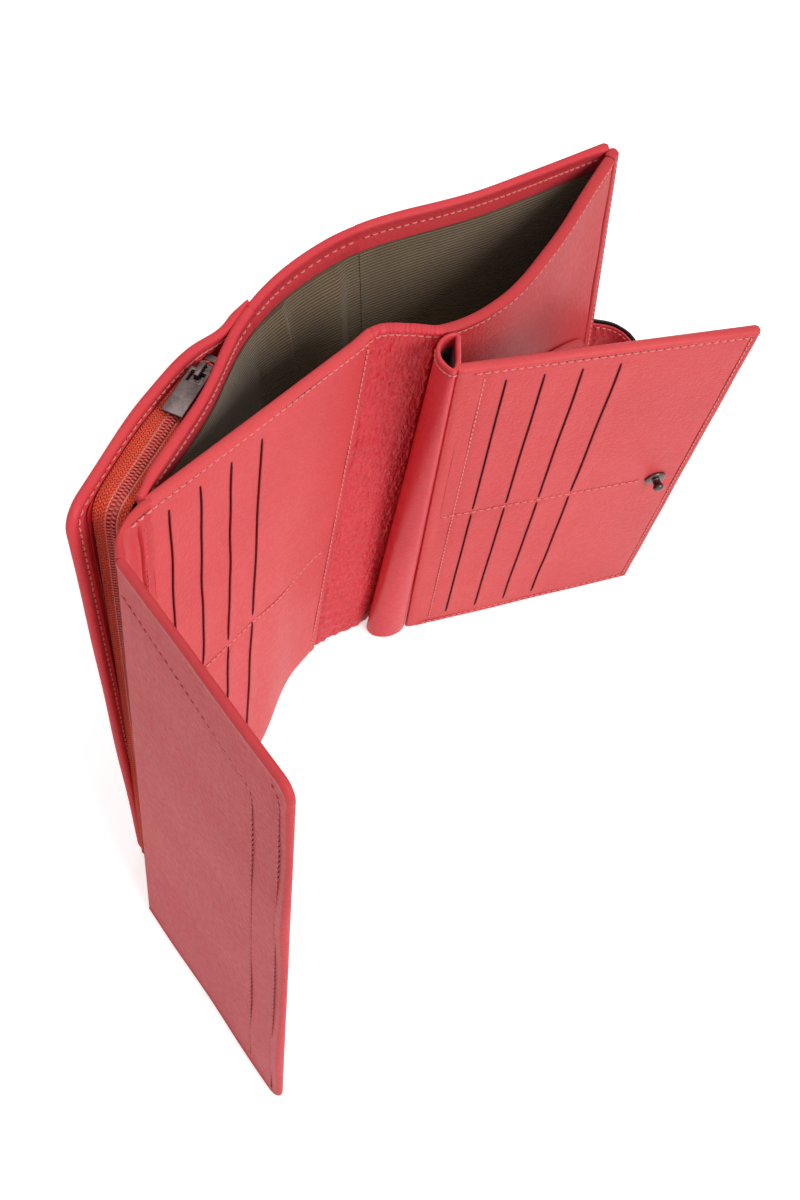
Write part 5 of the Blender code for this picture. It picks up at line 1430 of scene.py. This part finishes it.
def loop_stitches(name):
    """Row round the mouth of the pen loop, on its outer side."""
    count = 12
    turn = np.linspace(0.14, 0.66, count)
    z = np.full(count, HEIGHT - STITCH_IN)
    zero = np.zeros(count)
    here = LOOP.at(turn, z, zero - 0.05 * MM)
    way = unit(LOOP.at(turn + NUDGE, z, zero) - LOOP.at(turn - NUDGE, z, zero))
    out = unit(LOOP.at(turn, z, zero - MM) - LOOP.at(turn, z, zero))
    rows = Rows()
    rows.parts.append((here, way, out))
    return rows.make(name, THREAD)


rides(loop_stitches("pen_loop_stitches"), "right_half", slot="spine_leather")


# Strap

STRAP_Z = 81 * MM
STRAP_LOW, STRAP_HIGH = STRAP_Z - 17.5 * MM, STRAP_Z + 17.5 * MM
STRAP_TURNS = (-22.0, -48.0, -78.0, -98.0)
STRAP_SEWN, STRAP_SOFT, STRAP_TAB_RUN = 14, 4, 28  # millimetres along the strap


def strap_walls():
    """Base along the back cover, then bend and tab past the page's free edge."""
    base, bend, tab = [], [], []
    depth = COVER_BACK - 0.3 * MM
    for z in (STRAP_LOW, STRAP_HIGH):
        marks = np.linspace(SPINE_END, OUTER_END, 61)
        cover_run = knots_of(OUTER.face(marks, np.full_like(marks, HEIGHT / 2)))[-1]
        start = OUTER_END - (OUTER_END - SPINE_END) * STRAP_SEWN * MM / cover_run
        line = [plan_point(OUTER, start, z, depth), plan_point(OUTER, OUTER_END, z, depth)]
        base.append(np.array(line))
        run = (line[1] - line[0]) / np.linalg.norm(line[1] - line[0])
        angle = math.atan2(run[1], run[0])

        def way(turn):
            a = angle + math.radians(turn)
            return np.array([math.cos(a), math.sin(a)])

        corner = line[1] + run * 0.3 * MM
        end = corner + way(STRAP_TURNS[0]) * STRAP_SOFT * MM
        bend.append(np.array([corner, end]))
        points = [end + way(STRAP_TURNS[0]) * 0.3 * MM]
        for turn in STRAP_TURNS[1:]:
            points.append(points[-1] + way(turn) * STRAP_TAB_RUN * MM / 3)
        tab.append(np.array(points))
    return [Wall(*lines, STRAP_LOW, STRAP_HIGH) for lines in (base, bend, tab)]


STRAP_BASE, STRAP_BEND, STRAP_TAB = strap_walls()
strap_levels = {"low": STRAP_LOW, "high": STRAP_HIGH, "step": 1.5 * MM, "rise": 2 * MM,
                "edge": 0.5 * MM, "left_edge": 0.5 * MM}
strap_sewn = shell(
    "strap_sewn_end", STRAP_BASE, 0.0, 1.0, lambda p: 0.0 * p.u,
    lambda p: -PANEL_T + 0.0 * p.u - seam(p.u - 3 * MM, 0.2 * MM), COVER_LEATHER, **strap_levels)
rides(strap_sewn, "right_half", "strap_base", slot="leather")
strap_bend = shell(
    "strap_bend_leather", STRAP_BEND, -0.08, 1.08, constant(0.0),
    lambda p: -PANEL_T - 0.08 * MM * waves(p.u, p.v, 6 * MM, 101), STRAP_FACE, **strap_levels)
blends(strap_bend, "right_half", "strap", STRAP_BEND.at(0.05, STRAP_Z), STRAP_BEND.at(0.95, STRAP_Z),
       "strap_bend", slot="leather")
TAB_CORNER = 15 * MM
tab_length = STRAP_TAB.ruler(0, 3)[1][-1]
strap_out = shell(
    "strap_outer_leather", STRAP_TAB, 0.0, 3.0, constant(0.05 * MM),
    lambda p: -PANEL_T - 0.1 * MM * waves(p.u, p.v, 14 * MM, 102),
    EDGE_PAINT, corner=TAB_CORNER, **strap_levels)
rides(strap_out, "strap", "strap_outer", slot="leather")
TAB_STEP = 0.8 * MM  # the inner leather stops this far inside the outer one's long edges


def strap_face(p):
    """Fine crumples that die out at the edge, less the furrow of its stitches."""
    crumple = 0.16 * MM * waves(p.u * 1.2, p.v, 4.5 * MM, 103, 10)
    return 1.2 * MM + crumple * ease(p.rim / (3 * MM)) + seam(p.rim - 2 * MM, 0.25 * MM)


strap_in = shell(
    "strap_inner_leather", STRAP_TAB, 0.0, 3.0 - 0.09, strap_face, constant(0.3 * MM), STRAP_FACE,
    corner=TAB_CORNER - TAB_STEP, edge=0.5 * MM, left_edge=0.5 * MM,
    low=STRAP_LOW + TAB_STEP, high=STRAP_HIGH - TAB_STEP, step=1.2 * MM, rise=1.5 * MM)
rides(strap_in, "strap", "strap_inner", slot="leather")
rows = Rows()
tab_line = corner_path(tab_length, 2.6 * MM, TAB_CORNER, low=STRAP_LOW, high=STRAP_HIGH, both=True)
rows.along(STRAP_TAB, 0.0, 3.0, tab_line, 1.15 * MM, pitch=2.4 * MM)
rides(rows.make("strap_stitches", THREAD), "strap", slot="leather")


# Zip

ZIP_Z = 190 * MM
zip_start, zip_corner = mm((-69.0, 12.0)) - SHIFT, mm((-85.0, -48.0)) - SHIFT
zip_foot = mm((-73.7, -71.3)) - SHIFT
ZIP_FOOT_LIFT = 6 * MM
zip_run = np.append((zip_corner - zip_start) / np.linalg.norm(zip_corner - zip_start), 0.0)
UP = np.array([0.0, 0.0, 1.0])
zip_across = np.cross(UP, zip_run)
ZIP_BEND = 7 * MM


def zip_path(count=420):
    """Coil line: straight along the top, a quadratic bend at the corner, straight down.
    Returns places, runs, the way out and the distance walked at each."""
    start, corner = np.append(zip_start, ZIP_Z), np.append(zip_corner, ZIP_Z)
    foot = np.append(zip_foot, ZIP_FOOT_LIFT)
    down = (foot - corner) / np.linalg.norm(foot - corner)
    top_end, side_start = corner - zip_run * ZIP_BEND, corner + down * ZIP_BEND
    t = np.linspace(0, 1, 60)[:, None]
    curve = top_end * (1 - t) ** 2 + corner * 2 * t * (1 - t) + side_start * t**2
    points = np.vstack([start, curve, foot])
    walked = knots_of(points)
    d = np.linspace(0, walked[-1], count)
    places = np.stack([np.interp(d, walked, points[:, k]) for k in range(3)], axis=1)
    runs = unit(np.gradient(places, axis=0))
    out = np.cross(np.broadcast_to(zip_across, runs.shape), runs)
    out *= np.sign(out @ (UP + zip_run))[:, None]
    return places, runs, unit(out), d


zip_places, zip_runs, zip_outs, zip_walk = zip_path()


def reach_to(wall, s_values, depth):
    """How far across from the coil line each wall's face lies, level by level: the signed
    distance where the wall's level line passes the plane square to the run."""
    s = np.broadcast_to(s_values[None], (len(zip_places), len(s_values)))
    z = np.broadcast_to(zip_places[:, 2][:, None], s.shape)
    faces = wall.at(s, z, depth)[..., :2] - zip_places[:, None, :2]
    ahead = faces @ zip_run[:2]
    side = faces @ zip_across[:2]
    sign = ahead[:, :-1] * ahead[:, 1:] <= 0
    share = ahead[:, :-1] / (ahead[:, :-1] - ahead[:, 1:] + 1e-12)
    crossing = side[:, :-1] + (side[:, 1:] - side[:, :-1]) * share
    crossing = np.where(sign, crossing, np.inf)
    pick = np.argmin(np.abs(crossing), axis=1)
    reach = crossing[np.arange(len(pick)), pick]
    missing = ~np.isfinite(reach)
    reach[missing] = side[missing, -1]
    return reach


HALF_COIL = 1.8 * MM
cover_reach = reach_to(COVER, np.linspace(0, COVER_LAST, 81), -0.4 * MM)
divider_reach = reach_to(OUTER, np.linspace(JOIN, 0, 81), DIVIDER_BACK - 0.4 * MM)


def tape(name, reach, seed):
    """Woven tape from the coil out to a wall: a ribbon that bows up and dips at its seam."""
    side = np.sign(reach)
    far = np.maximum(np.abs(reach), HALF_COIL + 1.4 * MM)
    near = np.full_like(far, HALF_COIL - 0.7 * MM)
    t = np.array([0, 0.03, 0.1, 0.2, 0.32, 0.45, 0.58, 0.7, 0.82, 0.92, 0.98, 1.0])[None]
    across = near[:, None] + (far - near)[:, None] * t
    width = (far - near)[:, None]
    bow = np.sin(np.pi * t) * np.minimum(width * 0.10, 0.9 * MM)
    bow = bow + 0.18 * MM * waves(zip_walk[:, None] + 0 * t, across, 16 * MM, seed) * np.sin(np.pi * t)
    thick = 0.28 * MM * full(np.minimum(t, 1 - t) * width, 0.3 * MM) + 0.02 * MM
    middle = zip_places[:, None] + zip_across * (side[:, None] * across)[..., None]
    top = middle + zip_outs[:, None] * (bow + thick)[..., None]
    low = middle + zip_outs[:, None] * (bow - thick)[..., None]
    nu, nv = across.shape
    index = np.arange(nu * nv).reshape(nu, nv)
    under = index + nu * nv

    def strip(grid, turned):
        cells = np.stack([grid[:-1, :-1], grid[1:, :-1], grid[1:, 1:], grid[:-1, 1:]], axis=-1).reshape(-1, 4)
        return cells[:, ::-1] if turned else cells

    up_turn = bool(np.dot(np.cross(zip_run, zip_across * side[0]), UP) < 0)
    faces = [strip(index, up_turn), strip(under, not up_turn)]
    loop = np.concatenate([index[:, 0], index[-1, 1:], index[-2::-1, -1], index[0, -2:0:-1]])
    under_loop = loop + nu * nv
    around = np.stack([loop, np.roll(loop, -1), np.roll(under_loop, -1), under_loop], axis=1)
    faces.append(around if up_turn else around[:, ::-1])
    maps = np.stack([np.broadcast_to(zip_walk[:, None], across.shape), across], axis=-1).reshape(-1, 2)
    points = np.vstack([top.reshape(-1, 3), low.reshape(-1, 3)])
    return build(name, points, np.vstack(faces), np.vstack([maps, maps]), TAPE)


rides(tape("zip_tape_outer_knit", cover_reach, 111), "left_half", "zip_tape_outer", slot="zip_tape")
rides(tape("zip_tape_inner_knit", divider_reach, 112), "left_half", "zip_tape_inner", slot="zip_tape")


def along_zip(values, d):
    """Values kept along the coil line, read between their neighbours at distances d."""
    return np.stack([np.interp(d, zip_walk, values[:, k]) for k in range(3)], axis=1)


def coil_teeth(name):
    """Two rows of interlocking turns: each tooth is a bowed capsule across the run."""
    pitch = 1.2 * MM
    count = int(zip_walk[-1] / pitch)
    parts = Rows()
    for side in (-1.0, 1.0):
        d = (np.arange(count) + (0.25 if side < 0 else 0.75)) * pitch
        out = unit(along_zip(zip_outs, d))
        run = along_zip(zip_runs, d)
        way = unit(np.broadcast_to(zip_across * side, run.shape) + run * 0.22)
        place = along_zip(zip_places, d) + zip_across * side * 0.75 * MM + out * 0.75 * MM
        parts.parts.append((place, way, out))
    return parts.make(name, NYLON, length=2.1 * MM, width=0.74 * MM, holes=False)


rides(coil_teeth("zip_coil_turns"), "left_half", slot="zip_coil")


def ribbon(name, offset, half_width, lift, height, surface):
    """Rounded bar carried along the coil line."""
    turn = np.linspace(0, 2 * np.pi, 9)[:-1]
    x, y = half_width * np.cos(turn), height * np.sin(turn)
    points = (zip_places[:, None] + zip_across * (offset + x)[None, :, None]
              + zip_outs[:, None] * (lift + y)[None, :, None])
    nu, nv = len(zip_places), len(turn)
    index = np.arange(nu * nv).reshape(nu, nv)
    nxt = np.roll(index, -1, axis=1)
    sides = np.stack([index[:-1], nxt[:-1], nxt[1:], index[1:]], axis=-1).reshape(-1, 4)
    faces = sides.tolist() + [index[0][::-1].tolist(), index[-1].tolist()]
    maps = np.stack(np.broadcast_arrays(zip_walk[:, None], (turn * half_width)[None]), axis=-1).reshape(-1, 2)
    return build(name, points.reshape(-1, 3), faces, maps, surface)


core = ribbon("zip_coil_core", 0.0, 1.55 * MM, 0.1 * MM, 0.5 * MM, CORD)
rides(core, "left_half", "zip_coil", slot="zip_coil")
for name, offset in (("zip_cord_outer", -1.85 * MM), ("zip_cord_inner", 1.85 * MM)):
    rides(ribbon(name, offset, 0.24 * MM, 0.42 * MM, 0.24 * MM, THREAD), "left_half", slot="zip_coil")


def smooth_cad(node, surface):
    """A right-shaped metal node stays, in a better finish."""
    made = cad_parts[node]
    made.data.materials.clear()
    made.data.materials.append(surface)


def turned(name, profile, centre, axis, surface, samples=48):
    """Solid of revolution: a profile of (radius, height) pairs carried round an axis."""
    axis = np.asarray(axis, float) / np.linalg.norm(axis)
    side = np.cross(axis, UP)
    side /= np.linalg.norm(side)
    other = np.cross(axis, side)
    profile = np.asarray(profile, float)
    angle = np.arange(samples) * 2 * np.pi / samples
    arms = np.cos(angle)[:, None] * side + np.sin(angle)[:, None] * other
    inner = profile[1:-1]
    rings = centre + axis * inner[:, 1][:, None, None] + arms[None] * inner[:, 0][:, None, None]
    ends = np.stack([centre + axis * profile[0, 1], centre + axis * profile[-1, 1]])
    points = np.vstack([rings.reshape(-1, 3), ends])
    n = len(inner)
    index = np.arange(n * samples).reshape(n, samples)
    nxt = np.roll(index, -1, axis=1)
    sides = np.stack([index[:-1], nxt[:-1], nxt[1:], index[1:]], axis=-1).reshape(-1, 4)
    pole = np.full(samples, n * samples)
    first = np.stack([pole, nxt[0], index[0]], axis=1).tolist()
    last = np.stack([pole + 1, index[-1], nxt[-1]], axis=1).tolist()
    return build(name, points, sides.tolist() + first + last, points[:, :2], surface, sharp=40)


def wall_normal(wall, s, z):
    """Direction square to a wall's face."""
    step = 0.002
    run = wall.at(s + step, z) - wall.at(s - step, z)
    rise = wall.at(s, z + MM) - wall.at(s, z - MM)
    normal = np.cross(run, rise)
    return normal / np.linalg.norm(normal)


def rounded_profile(points, radius, samples=5):
    """Profile with each inner corner rounded by a small quadratic curve."""
    points = np.asarray(points, float)
    out = [points[0]]
    for before, here, after in zip(points, points[1:], points[2:]):
        a, b = before - here, after - here
        la, lb = np.linalg.norm(a), np.linalg.norm(b)
        r = min(radius, 0.45 * la, 0.45 * lb)
        p, q = here + a / la * r, here + b / lb * r
        t = np.linspace(0, 1, samples)[:, None]
        out += list(p * (1 - t) ** 2 + here * 2 * t * (1 - t) + q * t**2)
    return np.array(out + [points[-1]])


leaf_normal = wall_normal(LEAF, STUD_S / LEAF_W, STUD_Z)
stud_seat = LEAF.at(STUD_S / LEAF_W, STUD_Z)
stud = turned("snap_stud_turned", rounded_profile(np.array([
    (0, -0.2), (4.0, -0.2), (4.0, 0.75), (3.1, 1.15), (1.5, 1.15), (1.45, 2.9), (2.05, 3.6), (2.1, 4.6),
    (1.4, 5.3), (0, 5.45)]) * MM, 0.45 * MM), stud_seat, leaf_normal, METAL)
rides(stud, "leaf", "snap_stud", slot="gunmetal")
for node in ("stud_washer", "snap_socket", "snap_cap", "zip_top_stop", "zip_end_stop",
             "zip_slider_lower_plate"):
    smooth_cad(node, METAL)


def softened(name, source, surface, width, levels=3):
    """Copy of a metal node with its doubles merged and its edges rounded over."""
    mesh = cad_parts[source].data.copy()
    made = bpy.data.objects.new(name, mesh)
    bpy.context.scene.collection.objects.link(made)
    weld = made.modifiers.new("weld", "WELD")
    weld.merge_threshold = 0.00001
    flat = made.modifiers.new("flat", "DECIMATE")
    flat.decimate_type = "DISSOLVE"
    flat.angle_limit = math.radians(2)
    bevel = made.modifiers.new("round", "BEVEL")
    bevel.width, bevel.segments, bevel.limit_method = width, levels, "ANGLE"
    bevel.angle_limit = math.radians(25)
    deps = bpy.context.evaluated_depsgraph_get()
    finished = bpy.data.meshes.new_from_object(made.evaluated_get(deps))
    made.modifiers.clear()
    made.data = finished
    finished.materials.clear()
    finished.materials.append(surface)
    finished.shade_smooth()
    finished.set_sharp_from_angle(angle=math.radians(40))
    return made


slider = softened("zip_slider_body", "zip_slider", METAL, 0.32 * MM)
rides(slider, "slider", "zip_slider", slot="gunmetal")
pull = softened("zip_pull_plate", "zip_pull", METAL, 0.28 * MM)
rides(pull, "pull", "zip_pull", slot="gunmetal")


# Stage, light, camera

def stage_piece(name, points, faces, surface):
    """Mesh that belongs to the stage and not to the wallet."""
    mesh = bpy.data.meshes.new(name)
    mesh.from_pydata(points, [], faces)
    mesh.materials.append(surface)
    made = bpy.data.objects.new(name, mesh)
    bpy.context.scene.collection.objects.link(made)
    return made


def white_stage(name, glow):
    """White floor that keeps the shadow, lifted a little for the camera and reflections."""
    n = Nodes(name)
    n.set(Base_Color=(0.94, 0.94, 0.94, 1), Roughness=0.85)
    paths = n.add("LightPath")
    seen = n.sum("MAXIMUM", n.sum("MAXIMUM", paths.outputs["Is Camera Ray"], paths.outputs["Is Glossy Ray"]),
                 paths.outputs["Is Transmission Ray"])
    n.shader.inputs["Emission Color"].default_value = (1, 1, 1, 1)
    away = n.add("VectorMath", operation="LENGTH")
    n.link(n.place(False), away.inputs[0])
    n.put(n.shader.inputs["Emission Strength"],
          n.sum("MULTIPLY", seen, n.span(away.outputs["Value"], 0.9, 2.2, glow, 0.95)))
    return n.material


FLOOR_HALF, FLOOR_LEVEL = 6.0, -0.0002
floor_corners = [(x * FLOOR_HALF, y * FLOOR_HALF, FLOOR_LEVEL)
                 for x, y in ((-1, -1), (1, -1), (1, 1), (-1, 1))]
stage_piece("floor", floor_corners, [(0, 1, 2, 3)], white_stage("white_floor", 0.55))

WORLD_DIM = 0.31


def white_world(name, dim):
    """Dim white light from all sides; the camera, reflections and clear rays meet full white."""
    world = bpy.data.worlds.new(name)
    bpy.context.scene.world = world
    world.use_nodes = True
    tree = world.node_tree
    tree.nodes.clear()

    def add(kind):
        return tree.nodes.new("ShaderNode" + kind)

    output, choose, paths = add("OutputWorld"), add("MixShader"), add("LightPath")
    for socket, strength in ((1, dim), (2, 1.0)):
        light = add("Background")
        light.inputs["Color"].default_value = (1, 1, 1, 1)
        light.inputs["Strength"].default_value = strength
        tree.links.new(light.outputs[0], choose.inputs[socket])
    seen = paths.outputs["Is Camera Ray"]
    for ray in ("Is Glossy Ray", "Is Transmission Ray"):
        either = add("Math")
        either.operation = "MAXIMUM"
        tree.links.new(seen, either.inputs[0])
        tree.links.new(paths.outputs[ray], either.inputs[1])
        seen = either.outputs[0]
    tree.links.new(seen, choose.inputs[0])
    tree.links.new(choose.outputs[0], output.inputs["Surface"])


white_world("studio", WORLD_DIM)


def softbox(name, place, target, size, power):
    """Square lamp at a place, turned to its target."""
    lamp = bpy.data.lights.new(name, "AREA")
    lamp.shape, lamp.size, lamp.size_y, lamp.energy = "RECTANGLE", size[0], size[1], power
    made = bpy.data.objects.new(name, lamp)
    bpy.context.scene.collection.objects.link(made)
    way = Vector(target) - Vector(place)
    made.location = place
    made.rotation_euler = way.to_track_quat("-Z", "Y").to_euler()


LIT_POINT = (0, 0, 0.1)
softbox("key_softbox", (1.5, -1.2, 1.7), LIT_POINT, (1.1, 1.1), 40)
softbox("fill_softbox", (-1.7, -0.5, 1.4), LIT_POINT, (1.4, 1.4), 5)
softbox("top_softbox", (-0.2, 0.4, 2.4), LIT_POINT, (1.4, 1.4), 13)

TILT, ROLL_ANGLE = math.radians(57), math.radians(10)
DISTANCE, FOCAL_LENGTH, SENSOR = 0.5556, 48, 36
forward = Vector((0, math.cos(TILT), -math.sin(TILT)))
upward = Vector((0, math.sin(TILT), math.cos(TILT)))
right = Vector((1, 0, 0))
cam_x = right * math.cos(ROLL_ANGLE) + upward * math.sin(ROLL_ANGLE)
cam_y = upward * math.cos(ROLL_ANGLE) - right * math.sin(ROLL_ANGLE)
eye = Vector((-SHIFT[0], -SHIFT[1], HEIGHT / 2)) - forward * DISTANCE
camera_data = bpy.data.cameras.new("camera")
camera_data.sensor_fit = "VERTICAL"
camera_data.sensor_height, camera_data.sensor_width = SENSOR, SENSOR
camera_data.lens = FOCAL_LENGTH
camera_data.clip_start = 0.01
camera = bpy.data.objects.new("camera", camera_data)
bpy.context.scene.collection.objects.link(camera)
turn = Matrix((cam_x, cam_y, -forward)).transposed().to_4x4()
camera.matrix_world = Matrix.Translation(eye) @ turn
bpy.context.scene.camera = camera
bpy.context.scene.view_settings.view_transform = "Standard"
